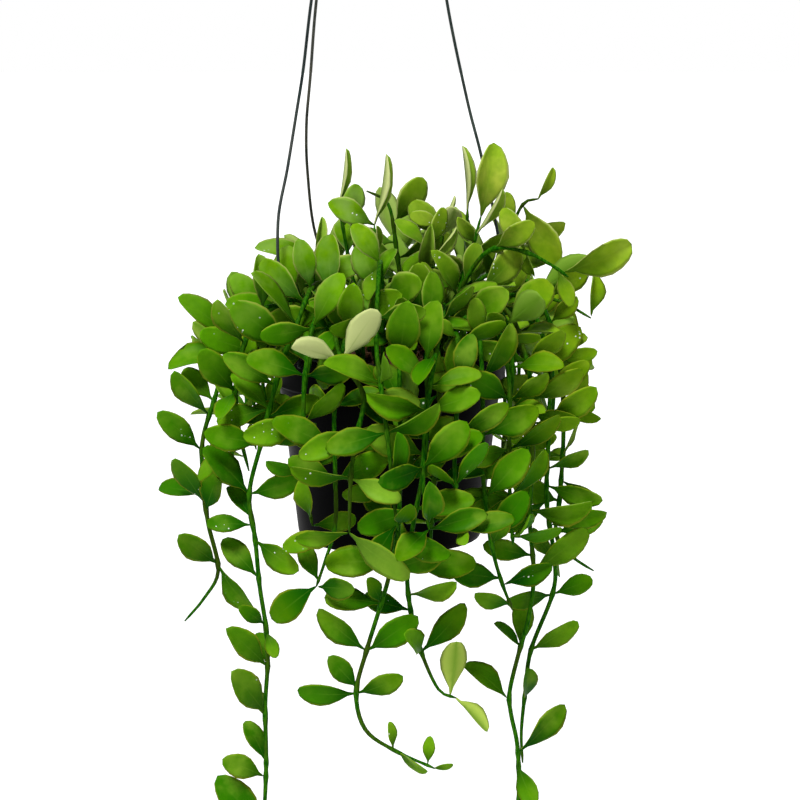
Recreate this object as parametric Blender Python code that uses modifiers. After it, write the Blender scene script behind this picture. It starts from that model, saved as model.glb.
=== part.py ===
"""Potted dischidia: a trailing plant in a hanging nursery pot, every separate piece as its own solid.

Metres, +Z up. The origin is where the hook bears on what it hangs from, and the front of the plant is at -Y.
Routes of wires and vines are lists in millimetres, measured from the centre of the pot's rim.
"""
import math
from random import Random

import bmesh
import bpy
from mathutils import Matrix, Quaternion, Vector
from mathutils.bvhtree import BVHTree

MM = 0.001
UP = Vector((0, 0, 1))
FRONT = Vector((0, -1, 0))
RIGHT = Vector((1, 0, 0))
PLANT = "potted_dischidia"

# Pot: a turned shell with a flange for the hanger, a stacking band under it and a foot ring.
RIM_DROP = 0.470           # hook's bearing point down to the rim
POT_HEIGHT = 0.114
POT_WALL = 0.0018
BASE_RADIUS = 0.055
TOP_RADIUS = 0.0662        # outside, just under the band
BAND_RADIUS = 0.0688
BAND_HEIGHT = 0.020
FLANGE_RADIUS = 0.074
FLANGE_THICK = 0.002
FOOT_RECESS = 0.003
FOOT_WIDTH = 0.005
TURN_STEPS = 40
DRAIN_RADIUS = 0.004
DRAIN_RING = 0.034
DRAIN_COUNT = 6

# Potting mix: a plug that fills the pot to just under its rim.
GAP = 0.0003               # clearance between neighbours
MIX_DEPTH = 0.012          # rim down to the mix
MIX_TOP = -MIX_DEPTH / MM  # the same height, in millimetres from the rim

# Hanger: three wires, the ferrule that clamps them and the hook.
WIRE_RADIUS = 0.0009
HOLE_RADIUS = 0.0014
HOLE_RING = 70.5           # millimetres from the pot's axis
HOLE_BEARINGS = {"hanger_wire_left": 228, "hanger_wire_back": 108, "hanger_wire_right": -12}
BEND_RADIUS = 1.3          # millimetres, each of a wire's two turns under the flange
BEND_SPAN = 7.0            # millimetres, across both turns
CLAMP_RING = 2.50          # millimetres, wires round the hook's shank
CLAMP_TOP = -0.050
CLAMP_LENGTH = 0.013
CLAMP_INNER = 0.00375
CLAMP_OUTER = 0.0049
HOOK_WIRE = 0.00125
HOOK_BEND = 9.0            # millimetres, inner radius of the hook

# Vines and leaves.
STEM_RADIUS = 0.0013
STEM_STEP = 18.0           # millimetres between a stem's points
ROOT_RISE = 7.0            # millimetres that a stem rises straight out of the mix
LEAF_LENGTH = 35.0         # millimetres, a grown leaf with its stalk
LEAF_THICK = 0.0009
LEAF_START = 0.0004        # a leaf starts this far from its stem's axis
LEAF_TRIES = 30
FIRST_NODE = 0.030         # bare stretch of a stem above the mix
STALK = 0.10               # part of a leaf that is its stalk

WIRE_ROUTES = {
    "hanger_wire_left": [(-20, -5, 330), (-36, -9, 260), (-45, -10, 204), (-50, -9, 165), (-54, -12, 140),
                         (-59, -24, 108), (-64, -38, 78), (-62, -48, 42), (-52, -53, 20)],
    "hanger_wire_back": [(-19, 5, 330), (-35, 10, 260), (-43, 12, 204), (-47, 16, 160), (-50, 25, 130),
                         (-50, 38, 100), (-46, 52, 62), (-33, 63, 28)],
    "hanger_wire_right": [(15, -1, 330), (26, -2, 260), (33, -3, 204), (45, -6, 147), (53, -10, 116),
                          (62, -13, 76), (68, -15, 36)],
}


def clear_scene():
    """Remove whatever the file opened with."""
    for thing in list(bpy.data.objects):
        bpy.data.objects.remove(thing, do_unlink=True)


def new_collection(name):
    """A collection of the scene."""
    group = bpy.data.collections.new(name)
    bpy.context.scene.collection.children.link(group)
    return group


def plain_material(name, colour, roughness, metallic=0.0):
    """A Principled material of one colour."""
    material = bpy.data.materials.new(name)
    material.use_nodes = True
    shader = material.node_tree.nodes["Principled BSDF"]
    shader.inputs["Base Color"].default_value = (*colour, 1.0)
    shader.inputs["Roughness"].default_value = roughness
    shader.inputs["Metallic"].default_value = metallic
    return material


def spot(x, y, z):
    """A place given in millimetres from the rim's centre, in metres from the origin."""
    return Vector((x * MM, y * MM, z * MM - RIM_DROP))


def polar(radius, bearing, height):
    """Millimetres from the rim's centre, for a radius and a bearing in degrees from +X."""
    angle = math.radians(bearing)
    return (radius * math.cos(angle), radius * math.sin(angle), height)


def add_object(name, mesh, material, group):
    """An object with its material, in its collection."""
    thing = bpy.data.objects.new(name, mesh)
    group.objects.link(thing)
    if material is not None:
        mesh.materials.append(material)
    return thing


def smooth_route(points, step):
    """Points about every step along a smooth curve through the given points."""
    corners = [Vector(point) for point in points]
    corners = [2 * corners[0] - corners[1]] + corners + [2 * corners[-1] - corners[-2]]
    route = []
    for before, start, end, after in zip(corners, corners[1:], corners[2:], corners[3:]):
        count = max(1, round((end - start).length / step))
        for index in range(count):
            t = index / count
            route.append(0.5 * (2 * start + (end - before) * t
                                + (2 * before - 5 * start + 4 * end - after) * t ** 2
                                + (3 * start - before - 3 * end + after) * t ** 3))
    return route + [corners[-2]]


def tube(name, places, radius, material, group, sides=2):
    """A round wire or stem through the given places, as a closed mesh."""
    curve = bpy.data.curves.new(name, "CURVE")
    curve.dimensions = "3D"
    curve.bevel_depth = radius
    curve.bevel_resolution = sides
    curve.use_fill_caps = True
    spline = curve.splines.new("POLY")
    spline.points.add(len(places) - 1)
    for point, place in zip(spline.points, places):
        point.co = (*place, 1.0)
    guide = bpy.data.objects.new(name + "_curve", curve)
    group.objects.link(guide)
    depsgraph = bpy.context.evaluated_depsgraph_get()
    mesh = bpy.data.meshes.new_from_object(guide.evaluated_get(depsgraph))
    mesh.name = name
    shape = bmesh.new()
    shape.from_mesh(mesh)
    bmesh.ops.remove_doubles(shape, verts=shape.verts, dist=1e-6)
    shape.to_mesh(mesh)
    shape.free()
    mesh.materials.clear()
    thing = add_object(name, mesh, material, group)
    thing.matrix_world = guide.matrix_world.copy()
    bpy.data.objects.remove(guide, do_unlink=True)
    bpy.data.curves.remove(curve)
    return thing


# ---------------------------------------------------------------- pot, mix and hanger

def turned(name, profile, material, group):
    """A solid of revolution about Z; the profile is (radius, height), down its outer side."""
    mesh = bpy.data.meshes.new(name)
    shape = bmesh.new()
    rows = [shape.verts.new((radius, 0.0, height)) for radius, height in profile]
    for upper, lower in zip(rows, rows[1:]):
        shape.edges.new((upper, lower))
    shape.to_mesh(mesh)
    shape.free()
    thing = add_object(name, mesh, material, group)
    screw = thing.modifiers.new("Turn", "SCREW")
    screw.steps = TURN_STEPS
    screw.render_steps = TURN_STEPS
    screw.use_merge_vertices = True
    screw.merge_threshold = 0.00001
    return thing


def wall_radius(height):
    """Outer radius of the pot's plain wall at a height under the rim."""
    return TOP_RADIUS + (BASE_RADIUS - TOP_RADIUS) * (-height - BAND_HEIGHT) / (POT_HEIGHT - BAND_HEIGHT)


def pot_profile():
    """Inside floor, inside wall, flange, band, outside wall, foot ring and recess."""
    floor = -POT_HEIGHT + FOOT_RECESS + POT_WALL
    foot = BASE_RADIUS - FOOT_WIDTH
    return [
        (0.0, floor),
        (wall_radius(floor) - POT_WALL, floor),
        (TOP_RADIUS - POT_WALL, -BAND_HEIGHT),
        (BAND_RADIUS - POT_WALL, -BAND_HEIGHT + 0.0015),
        (BAND_RADIUS - POT_WALL + 0.0004, 0.0),
        (FLANGE_RADIUS - 0.0006, 0.0),
        (FLANGE_RADIUS, -0.0006),
        (FLANGE_RADIUS, -FLANGE_THICK),
        (BAND_RADIUS + 0.0004, -FLANGE_THICK),
        (BAND_RADIUS, -BAND_HEIGHT),
        (TOP_RADIUS, -BAND_HEIGHT - 0.0015),
        (BASE_RADIUS + 0.0008, -POT_HEIGHT + 0.003),
        (BASE_RADIUS - 0.0006, -POT_HEIGHT),
        (foot, -POT_HEIGHT),
        (foot - 0.0006, -POT_HEIGHT + FOOT_RECESS),
        (0.0, -POT_HEIGHT + FOOT_RECESS),
    ]


def mix_profile():
    """The plug of potting mix, a gap clear of the pot."""
    floor = -POT_HEIGHT + FOOT_RECESS + POT_WALL + GAP
    inside = POT_WALL + GAP
    return [
        (0.0, -MIX_DEPTH),
        (BAND_RADIUS - inside, -MIX_DEPTH),
        (BAND_RADIUS - inside, -BAND_HEIGHT + 0.0024),
        (TOP_RADIUS - inside, -BAND_HEIGHT + 0.0004),
        (wall_radius(floor) - inside, floor),
        (0.0, floor),
    ]


def at_rim(profile):
    """A profile measured from the rim, lowered to its place under the hook."""
    return [(radius, height - RIM_DROP) for radius, height in profile]


def hole_cutter(group):
    """Drills for the three wire holes in the flange and the drain holes in the floor."""
    drills = [(polar(HOLE_RING, bearing, 0), HOLE_RADIUS, 12) for bearing in HOLE_BEARINGS.values()]
    drain_height = (FOOT_RECESS - POT_HEIGHT) / MM
    for index in range(DRAIN_COUNT):
        drills.append((polar(DRAIN_RING / MM, 360 / DRAIN_COUNT * index, drain_height), DRAIN_RADIUS, 16))
    drills.append(((0, 0, drain_height), DRAIN_RADIUS, 16))
    shape = bmesh.new()
    for place, radius, sides in drills:
        bmesh.ops.create_cone(shape, cap_ends=True, segments=sides, radius1=radius, radius2=radius,
                              depth=0.010, matrix=Matrix.Translation(spot(*place)))
    mesh = bpy.data.meshes.new("pot_drills")
    shape.to_mesh(mesh)
    shape.free()
    cutter = add_object("pot_drills", mesh, None, group)
    cutter.hide_render = True
    cutter.display_type = "WIRE"
    return cutter


def make_pot(material, group, cutters):
    """The pot's turned shell with its holes."""
    pot = turned("pot", at_rim(pot_profile()), material, group)
    drill = pot.modifiers.new("Holes", "BOOLEAN")
    drill.operation = "DIFFERENCE"
    drill.solver = "EXACT"
    drill.object = hole_cutter(cutters)
    return pot


def wire_route(name):
    """A hanger wire from the clamp, through its hole in the flange, to its turned-up end."""
    bearing = HOLE_BEARINGS[name]
    clamp_foot = (RIM_DROP + CLAMP_TOP - CLAMP_LENGTH) / MM
    top = polar(CLAMP_RING, bearing, clamp_foot + CLAMP_LENGTH / MM + 2)
    foot = polar(CLAMP_RING, bearing, clamp_foot)
    slack = [foot] + WIRE_ROUTES[name] + [polar(HOLE_RING, bearing, 8), polar(HOLE_RING, bearing, 2)]
    centre = BEND_RADIUS - (FLANGE_THICK + GAP + WIRE_RADIUS) / MM
    bend = []
    for reach, start in ((BEND_RADIUS, 180), (BEND_SPAN - BEND_RADIUS, 270)):
        for angle in (math.radians(start + 30 * step) for step in range(4)):
            bend.append(polar(HOLE_RING + reach + BEND_RADIUS * math.cos(angle), bearing,
                              centre + BEND_RADIUS * math.sin(angle)))
    end = polar(HOLE_RING + BEND_SPAN, bearing, 5)
    return [top] + smooth_route(slack, 26) + bend + [end]


def make_wires(material, group):
    """The three coated wires."""
    return [tube(name, [spot(*point) for point in wire_route(name)], WIRE_RADIUS, material, group)
            for name in WIRE_ROUTES]


def make_ferrule(material, group):
    """The crimped tube that holds the wires to the hook's shank: an open ring with rounded mouths."""
    foot = CLAMP_TOP - CLAMP_LENGTH
    round_off = 0.0004
    profile = [
        (CLAMP_INNER, CLAMP_TOP), (CLAMP_OUTER - round_off, CLAMP_TOP), (CLAMP_OUTER, CLAMP_TOP - round_off),
        (CLAMP_OUTER, foot + round_off), (CLAMP_OUTER - round_off, foot), (CLAMP_INNER, foot),
        (CLAMP_INNER, CLAMP_TOP),
    ]
    mesh = bpy.data.meshes.new("hanger_ferrule")
    shape = bmesh.new()
    rows = [shape.verts.new((radius, 0.0, height)) for radius, height in profile[:-1]]
    for index, row in enumerate(rows):
        shape.edges.new((row, rows[(index + 1) % len(rows)]))
    shape.to_mesh(mesh)
    shape.free()
    ferrule = add_object("hanger_ferrule", mesh, material, group)
    screw = ferrule.modifiers.new("Turn", "SCREW")
    screw.steps = 24
    screw.render_steps = 24
    screw.use_merge_vertices = True
    screw.merge_threshold = 0.00001
    return ferrule


def make_hook(material, group):
    """A bent wire hook: shank, neck, the bend that bears at the origin, and a flared tip."""
    middle = HOOK_BEND + HOOK_WIRE / MM
    drop = -HOOK_BEND
    shank = [(0, 0, (CLAMP_TOP - CLAMP_LENGTH) / MM - 2), (0, 0, -40), (1.5, 0, -30), (6.5, 0, -22)]
    arc = [(middle * math.cos(math.radians(angle)), 0, drop + middle * math.sin(math.radians(angle)))
           for angle in range(-20, 201, 20)]
    tip = [(-middle - 0.6, 0, drop - 8), (-middle - 2.6, 0, drop - 12)]
    route = smooth_route(shank + arc + tip, 5)
    return tube("hanger_hook", [Vector(point) * MM for point in route], HOOK_WIRE, material, group)


# ---------------------------------------------------------------- vines: where they run

def arch(name, bearing, root, crest, height, reach, end, sway=0.0, gap=26):
    """A vine that rises from the mix, leans over the rim and hangs down outside the pot."""
    drop = height - end
    return (name, [
        polar(root + 0.35 * (crest - root), bearing, 0.55 * height),
        polar(crest, bearing + 0.2 * sway, height),
        polar(crest + 0.75 * (reach - crest), bearing + 0.5 * sway, height - 0.16 * drop),
        polar(reach, bearing + 0.8 * sway, height - 0.45 * drop),
        polar(reach - 2, bearing + sway, height - 0.75 * drop),
        polar(reach - 7, bearing + sway, end),
    ], polar(root, bearing, MIX_TOP), (), 0.5, gap)


def shoot(name, root, route, leaves, rise=1.1, gap=22):
    """A vine that is shaped point by point, with the leaves that are placed by hand."""
    return (name, route, (*root, MIX_TOP), leaves, rise, gap)


# A hand-placed leaf: height of its node on the stem, clock angle in front view, length,
# lean to the front, turn about its length.
HAND_VINES = [
    shoot("shoot_crown_left", (-16, 0), [(-18, 0, 20), (-24, 1, 50), (-30, 0, 84)], [
        (83, 80, 36, 10, 74), (72, 76, 29, -22, 21), (54, 100, 28, -30, 21),
    ]),
    shoot("shoot_crown_spike", (-4, -12), [(-6, -13, 20), (-8, -13, 45), (-9, -13, 74)], [
        (73, 75, 43, 0, 78), (73, 148, 31, 15, 21), (56, 104, 28, 36, 78), (56, 200, 32, 10, 10),
    ]),
    shoot("shoot_crown_twig", (6, 14), [(7, 14, 26), (4, 13, 56), (-1, 12, 84), (-14, 12, 92)], [
        (72, 56, 33, 10, 21), (60, 170, 28, -22, 21), (52, 20, 34, 10, 10), (52, 160, 28, 0, 10),
    ]),
    shoot("shoot_crown_fold", (12, -12), [(15, -16, 16), (20, -22, 44), (22, -24, 62)], [
        (44, 93, 42, 36, 62), (50, 60, 30, 15, 65), (60, 130, 26, -10, 10), (61, 30, 28, 10, 10),
    ]),
    shoot("shoot_crown_middle", (24, 4), [(27, 3, 24), (30, 0, 52), (31, -2, 74)], [
        (64, 117, 29, -22, 21), (66, 60, 27, 36, 175), (73, 65, 19, 0, 78), (72, 160, 20, 0, 20),
        (59, 160, 30, -32, 21), (48, 165, 26, -15, 21),
    ]),
    shoot("shoot_crown_right", (36, 18), [(40, 14, 26), (45, 6, 56), (46, 2, 82)], [
        (79, 90, 40, 0, 70), (60, 150, 28, 10, 10),
    ]),
    shoot("shoot_crown_broad", (34, -8), [(40, -12, 30), (48, -20, 60), (53, -23, 80)], [
        (79, 78, 44, 0, 21), (69, 64, 38, 34, 72), (63, 94, 26, 10, 15), (60, 15, 28, 15, 40),
        (40, 170, 28, 10, 10),
    ]),
    shoot("shoot_far_right", (48, 30), [(58, 26, 30), (70, 18, 62), (79, 10, 84), (88, 4, 88)], [
        (66, 95, 25, 10, 10), (62, 12, 37, -5, 10), (84, 300, 41, 15, 21), (88, 60, 21, 0, 20),
    ]),
    shoot("trail_left_outer", (-34, -4), [
        (-46, -8, 26), (-68, -22, 36), (-84, -36, 25), (-92, -45, 8), (-100, -51, -20), (-108, -54, -48),
        (-107, -56, -78), (-105, -56, -96), (-100, -53, -124), (-109, -48, -142), (-121, -44, -157),
    ], [
        (32, 150, 22, 10, 10), (12, 139, 40, 15, 50), (6, 186, 36, 20, 40), (-25, 132, 27, -15, 21),
        (-31, 130, 34, 25, 5),
        (-51, 136, 34, 20, 20),
        (-78, 172, 30, -20, 50), (-82, 120, 35, 25, 10), (-88, 75, 32, 32, 10),
        (-120, 129, 36, 36, 21), (-121, 302, 33, 15, 21),
    ], 0.5),
    shoot("trail_left_inner", (-24, -24), [
        (-34, -42, 38), (-43, -60, 44), (-52, -77, 24), (-60, -84, 4), (-67, -88, -22), (-72, -88, -42),
        (-79, -86, -71),
        (-76, -85, -98), (-74, -83, -125), (-71, -80, -149), (-70, -79, -170), (-72, -76, -199),
        (-72, -73, -234), (-74, -70, -270), (-77, -68, -298),
    ], [
        (42, 102, 29, 10, 0), (35, 138, 34, 0, 10), (22, 122, 41, 15, 55), (14, 143, 41, 25, 5),
        (10, 205, 25, 12, 21), (-9, 140, 36, 15, 21), (-6, 60, 30, -15, 10), (-22, 195, 32, -12, 21),
        (-24, 120, 30, 5, 21), (-26, 20, 30, 10, 10), (-42, 163, 34, 25, 35),
        (-42, 20, 34, 15, 20), (-71, 127, 38, 15, 0), (-71, 17, 30, 10, 21), (-86, 125, 24, -20, 21),
        (-88, 165, 26, -10, 20), (-98, 330, 32, 30, 0),
        (-120, 134, 30, -12, 21), (-148, 134, 22, 40, 0), (-152, 300, 17, 25, 20),
        (-174, 127, 38, 28, 21), (-175, 104, 24, -38, 21), (-204, 116, 42, 30, 21),
        (-206, 112, 18, -30, 20), (-234, 116, 27, -20, 25), (-241, 152, 29, 25, 21),
        (-277, 124, 44, 14, 21), (-286, 50, 28, -30, 25), (-294, 150, 17, 20, 20), (-295, 35, 14, -10, 20),
    ], 0.5),
    shoot("vine_left_face", (-42, -20), [
        (-54, -34, 22), (-70, -54, 31), (-82, -68, 12), (-87, -76, -14), (-88, -80, -40), (-90, -76, -60),
    ], [
        (29, 92, 32, 5, 10),
        (12, 121, 32, 25, 0), (-2, 70, 30, -20, 10), (-16, 121, 38, 30, 0), (-16, 240, 34, 35, 20),
        (-28, 100, 30, -22, 10), (-32, 20, 30, 5, 10), (-46, 215, 26, 10, 30),
        (-44, 60, 32, 40, 10), (-60, 112, 28, 38, 20),
    ], 0.5),
    shoot("vine_short_left", (-8, -34), [
        (-14, -56, 24), (-24, -84, 18), (-30, -99, -14), (-30, -104, -50), (-30, -104, -84),
        (-36, -102, -106),
        (-41, -100, -121),
    ], [
        (-60, 150, 30, 20, 10), (-60, 30, 34, 20, 10), (-88, 200, 30, 0, 30), (-120, 217, 34, 0, 15),
        (-121, 4, 27, 40, 20), (-119, 106, 26, 15, 10),
    ], 0.5),
    shoot("trail_centre_left", (4, -42), [
        (4, -62, 18), (5, -88, 14), (6, -101, -12), (6, -104, -50), (5, -104, -87), (0, -102, -114),
        (-6, -98, -136), (-13, -95, -160), (-19, -92, -186), (-14, -90, -208), (2, -88, -221),
        (26, -86, -233),
    ], [
        (-60, 165, 36, 20, 10), (-60, 20, 34, 25, 10), (-90, 120, 34, -10, 20), (-90, 340, 34, 20, 10),
        (-104, 176, 38, 5, 10), (-112, 25, 34, 20, 10), (-130, 175, 32, 0, 45), (-130, 108, 22, 32, 10),
        (-160, 141, 36, 5, 15),
        (-160, 38, 38, 20, 10), (-184, 125, 27, 15, 15), (-187, 26, 30, 20, 10), (-188, 178, 34, 0, 20),
        (-221, 92, 17, 10, 20), (-222, 333, 23, 38, 21), (-231, 86, 17, 0, 20), (-232, 9, 13, 20, 20),
    ], 0.5),
    shoot("trail_centre", (14, -38), [
        (16, -58, 24), (20, -88, 22), (21, -106, -2), (20, -110, -44), (13, -106, -86), (10, -100, -112),
        (12, -96, -136), (18, -93, -161), (28, -91, -184), (38, -88, -190),
    ], [
        (8, 78, 33, 15, 5), (-4, 136, 31, 15, 5), (-18, 20, 32, 20, 10),
        (-44, 150, 36, 25, 10), (-44, 30, 36, 25, 10), (-76, 20, 34, 25, 0), (-76, 200, 34, 0, 20),
        (-108, 8, 38, 22, 10), (-112, 110, 34, -15, 20), (-128, 38, 33, 25, 0), (-136, 170, 30, -20, 10),
        (-163, 47, 37, 0, 15), (-162, 104, 33, 36, 30), (-189, 88, 35, 5, 190), (-190, 319, 27, 10, 230),
    ], 0.5),
    shoot("vine_front_pale", (-16, -46), [
        (-22, -66, 16), (-30, -88, 24), (-26, -104, 8), (-14, -111, -10), (-18, -116, -33), (-21, -118, -55),
        (-22, -117, -86),
    ], [
        (9, 159, 31, 25, 165), (8, 58, 37, 10, 185), (-10, 353, 37, 10, 40), (-30, 200, 34, 20, 10),
        (-55, 341, 31, 25, 0), (-55, 170, 34, 15, 10), (-84, 319, 42, 25, 0), (-86, 192, 30, 0, 10),
    ], 0.5),
    shoot("vine_front_middle", (22, -30), [
        (30, -52, 30), (30, -82, 30), (25, -104, 8), (21, -114, -14), (19, -119, -39), (19, -120, -62),
        (22, -118, -84),
    ], [
        (28, 46, 27, 20, 5), (10, 140, 36, 20, 0), (-5, 55, 31, 10, 0), (-20, 160, 36, 20, 10),
        (-50, 50, 37, 20, 10), (-50, 190, 35, 20, 10), (-82, 90, 37, 20, 5), (-83, 33, 33, 20, 0),
        (-83, 220, 30, 25, 10),
    ], 0.5),
    shoot("vine_front_right", (32, -34), [
        (42, -54, 24), (50, -78, 18), (52, -90, -10), (52, -94, -40), (53, -96, -66), (56, -98, -88),
        (59, -96, -105), (64, -93, -122), (70, -88, -138),
    ], [
        (14, 96, 27, 15, 30), (-6, 63, 37, 15, 0), (-8, 170, 32, 20, 10), (-36, 30, 36, 20, 10),
        (-36, 170, 36, 20, 0),
        (-70, 50, 36, 20, 0), (-70, 190, 34, 20, 20), (-92, 60, 32, 10, 10), (-98, 84, 25, 38, 10),
        (-119, 166, 29, 15, 10), (-120, 20, 30, 10, 10), (-136, 152, 26, 32, 10),
    ], 0.5),
    shoot("vine_front_left", (-28, -38), [
        (-36, -62, 28), (-42, -84, 26), (-47, -97, -6), (-47, -101, -36), (-46, -102, -64), (-43, -100, -86),
    ], [
        (24, 63, 35, 15, 5), (24, 190, 30, 20, 10), (0, 20, 34, 20, 10), (0, 160, 34, 20, 10),
        (-28, 45, 34, 20, 10), (-28, 190, 34, 20, 10), (-56, 70, 32, 15, 10), (-56, 160, 24, 20, 10),
        (-82, 110, 30, 20, 10), (-84, 20, 30, 20, 10),
    ], 0.4, 23),
    shoot("vine_front_centre", (-4, -52), [
        (-4, -59, 38), (-5, -68, 58), (-6, -84, 50), (-7, -103, 18), (-4, -114, -8), (0, -122, -38),
        (3, -122, -70), (5, -120, -84),
    ], [
        (56, 245, 20, 20, 0), (56, 120, 28, 5, 20), (30, 20, 30, 20, 10), (30, 190, 28, 25, 20),
        (-4, 150, 34, 20, 10), (-4, 20, 32, 20, 10), (-30, 190, 34, 15, 10), (-30, 30, 34, 20, 10),
        (-56, 60, 32, 15, 10), (-56, 160, 34, 15, 10), (-80, 100, 30, 20, 10), (-80, 220, 30, 20, 10),
    ], 0.4, 23),
    shoot("vine_front_inner", (24, -46), [
        (32, -64, 18), (38, -88, 18), (38, -106, -8), (36, -112, -38), (37, -113, -68), (39, -112, -90),
    ], [
        (18, 141, 18, 20, 20), (16, 20, 30, 20, 10), (-6, 70, 34, 15, 10), (-6, 160, 32, 20, 10),
        (-32, 200, 34, 20, 10), (-32, 30, 34, 20, 10), (-60, 60, 34, 15, 10), (-60, 150, 34, 20, 10),
        (-86, 110, 30, 20, 10), (-86, 20, 32, 20, 10),
    ], 0.4, 23),
    shoot("vine_right_face", (40, -40), [
        (52, -56, 18), (62, -76, 18), (67, -87, -8), (67, -90, -40), (68, -90, -76), (70, -88, -100),
    ], [
        (17, 0, 23, 20, 60), (17, 150, 28, 20, 10), (-16, 31, 26, 20, 0), (-16, 170, 34, 20, 0),
        (-44, 30, 34, 15, 0), (-44, 190, 32, 20, 10), (-72, 50, 34, 15, 10), (-72, 170, 34, 20, 10),
        (-96, 110, 28, 20, 10), (-96, 10, 30, 20, 10),
    ], 0.4, 23),
    shoot("trail_right_front", (40, -22), [
        (50, -36, 32), (68, -56, 28), (78, -68, 2), (81, -74, -28), (81, -75, -58), (80, -74, -88),
        (83, -70, -123), (80, -68, -150), (75, -66, -170), (70, -64, -194), (71, -62, -208), (75, -62, -228),
        (76, -62, -258), (74, -60, -282), (73, -60, -302),
    ], [
        (25, 190, 30, 20, 10), (0, 45, 29, 15, 0), (0, 170, 32, 20, 10), (-20, 30, 34, 20, 10),
        (-34, 6, 27, 15, 20),
        (-48, 200, 34, 20, 10),
        (-88, 150, 34, 10, 10), (-85, 9, 37, 25, 21), (-112, 160, 30, 20, 10), (-121, 40, 40, 10, 5),
        (-167, 128, 22, 10, 20), (-168, 84, 32, -30, 21), (-197, 139, 32, 0, 20), (-231, 42, 38, 5, 21),
        (-239, 292, 26, 32, 21), (-264, 215, 30, 10, 10), (-290, 60, 24, 10, 10), (-300, 140, 16, 10, 10),
        (-300, 20, 14, 0, 20),
    ], 0.5),
    shoot("trail_right_back", (46, -6), [
        (58, -12, 30), (80, -26, 30), (92, -40, -2), (92, -50, -40), (91, -54, -82), (96, -55, -117),
        (95, -54, -138), (83, -52, -172), (80, -50, -198), (78, -48, -224), (79, -48, -243),
    ], [
        (27, 200, 28, 15, 10), (4, 22, 25, 15, 0), (-20, 42, 29, 20, 10), (-20, 150, 34, 25, 10),
        (-38, 41, 36, 25, 21), (-63, 27, 27, 20, 10), (-72, 342, 33, 22, 21), (-94, 10, 34, 20, 0),
        (-82, 210, 32, 25, 20), (-117, 128, 25, 20, 10), (-138, 180, 32, 34, 10),
        (-136, 10, 26, -20, 20), (-174, 46, 34, 10, 21), (-204, 80, 28, 40, 72),
    ], 0.5),
    shoot("vine_right_side", (36, 6), [
        (52, 6, 38), (78, -2, 42), (93, -14, 20), (101, -24, -14), (102, -30, -51), (100, -32, -87),
        (98, -33, -106), (104, -33, -117), (112, -32, -124), (121, -30, -130),
    ], [
        (18, 30, 22, 10, 10), (-7, 22, 23, 15, 0), (-10, 325, 25, 25, 10), (-28, 330, 24, 15, 21),
        (-32, 48, 27, 20, 0), (-60, 75, 28, 10, 20), (-60, 170, 34, 30, 10), (-76, 338, 25, 15, 20),
        (-90, 150, 32, 20, 10), (-108, 275, 26, 0, 60), (-106, 20, 29, 20, 5),
    ], 0.5),
    shoot("sprig_upper_right", (30, -14), [
        (38, -28, 28), (48, -40, 52), (60, -47, 64), (78, -51, 62), (92, -52, 55), (102, -52, 48),
    ], [
        (42, 93, 26, 15, 5), (62, 120, 28, 0, 10), (64, 20, 29, 15, 21), (61, 318, 20, 0, 21),
        (52, 290, 22, 30, 21), (50, 22, 42, 0, 28),
    ], 0.7),
    shoot("sprig_right", (44, 16), [
        (58, 13, 30), (74, 4, 36), (90, -5, 31), (103, -14, 28), (118, -20, 20),
    ], [
        (38, 80, 26, -10, 10), (32, 225, 22, 10, 10), (30, 42, 30, 15, 0),
    ], 0.7),
    shoot("shoot_upper_left", (-38, 10), [(-42, 6, 14), (-46, 0, 38), (-44, -4, 52)], [
        (38, 98, 32, 0, 10), (38, 190, 34, 15, 10), (50, 80, 28, 0, 65), (51, 157, 36, 10, 21),
        (43, 125, 30, -32, 21),
    ]),
]

LOW_RING = [(-174, 0, -74), (-146, 8, -46), (-116, -4, -60), (-68, -6, -101), (-34, 4, -74),
            (-6, 8, -83), (16, 6, -92), (46, -6, -101), (76, 5, -74), (106, -5, -83), (136, 6, -56),
            (162, -6, -70)]
HIGH_RING = [(-147, -4, 33), (-44, -4, 42), (37, -5, 35), (62, 6, 48), (90, -6, 56), (126, 5, 42),
             (151, -5, 28)]


def ruled_vines():
    """Two rings of vines all round the pot: short ones by the rim, and taller ones that arch over them."""
    rows = []
    gap = {True: 24, False: 30}
    for index, (bearing, sway, end) in enumerate(LOW_RING):
        lift = 3 * (index % 3)
        rows.append(arch("vine_low_%02d" % (index + 1), bearing, 52, 70, 17 + lift, 92 + lift, end,
                         sway, gap[bearing < -30]))
    for index, (bearing, sway, height) in enumerate(HIGH_RING):
        rows.append(arch("vine_high_%02d" % (index + 1), bearing, 33, 66, height, 60 + height,
                         -40 - 12 * (index % 3), sway, gap[bearing < -30]))
    return rows


def vine_rows():
    """Every vine: name, route, root, hand-placed leaves, rise of its other leaves, gap between nodes."""
    return HAND_VINES + ruled_vines()


def vine_route(route, root):
    """A vine's whole route, with the short upright stretch that leaves the mix."""
    x, y, z = root
    start = z + GAP / MM
    return [(x, y, start), (x, y, start + ROOT_RISE)] + list(route)


# ---------------------------------------------------------------- leaves: how they lie

def half_width(t):
    """Half a leaf's width at a part t of its length, as a part of its greatest half-width."""
    if t <= STALK:
        return 0.10
    rise = ((t - STALK) / (1 - STALK)) ** 1.2
    return 0.10 + 0.90 * max(0.0, math.sin(math.pi * rise)) ** 0.68


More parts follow.
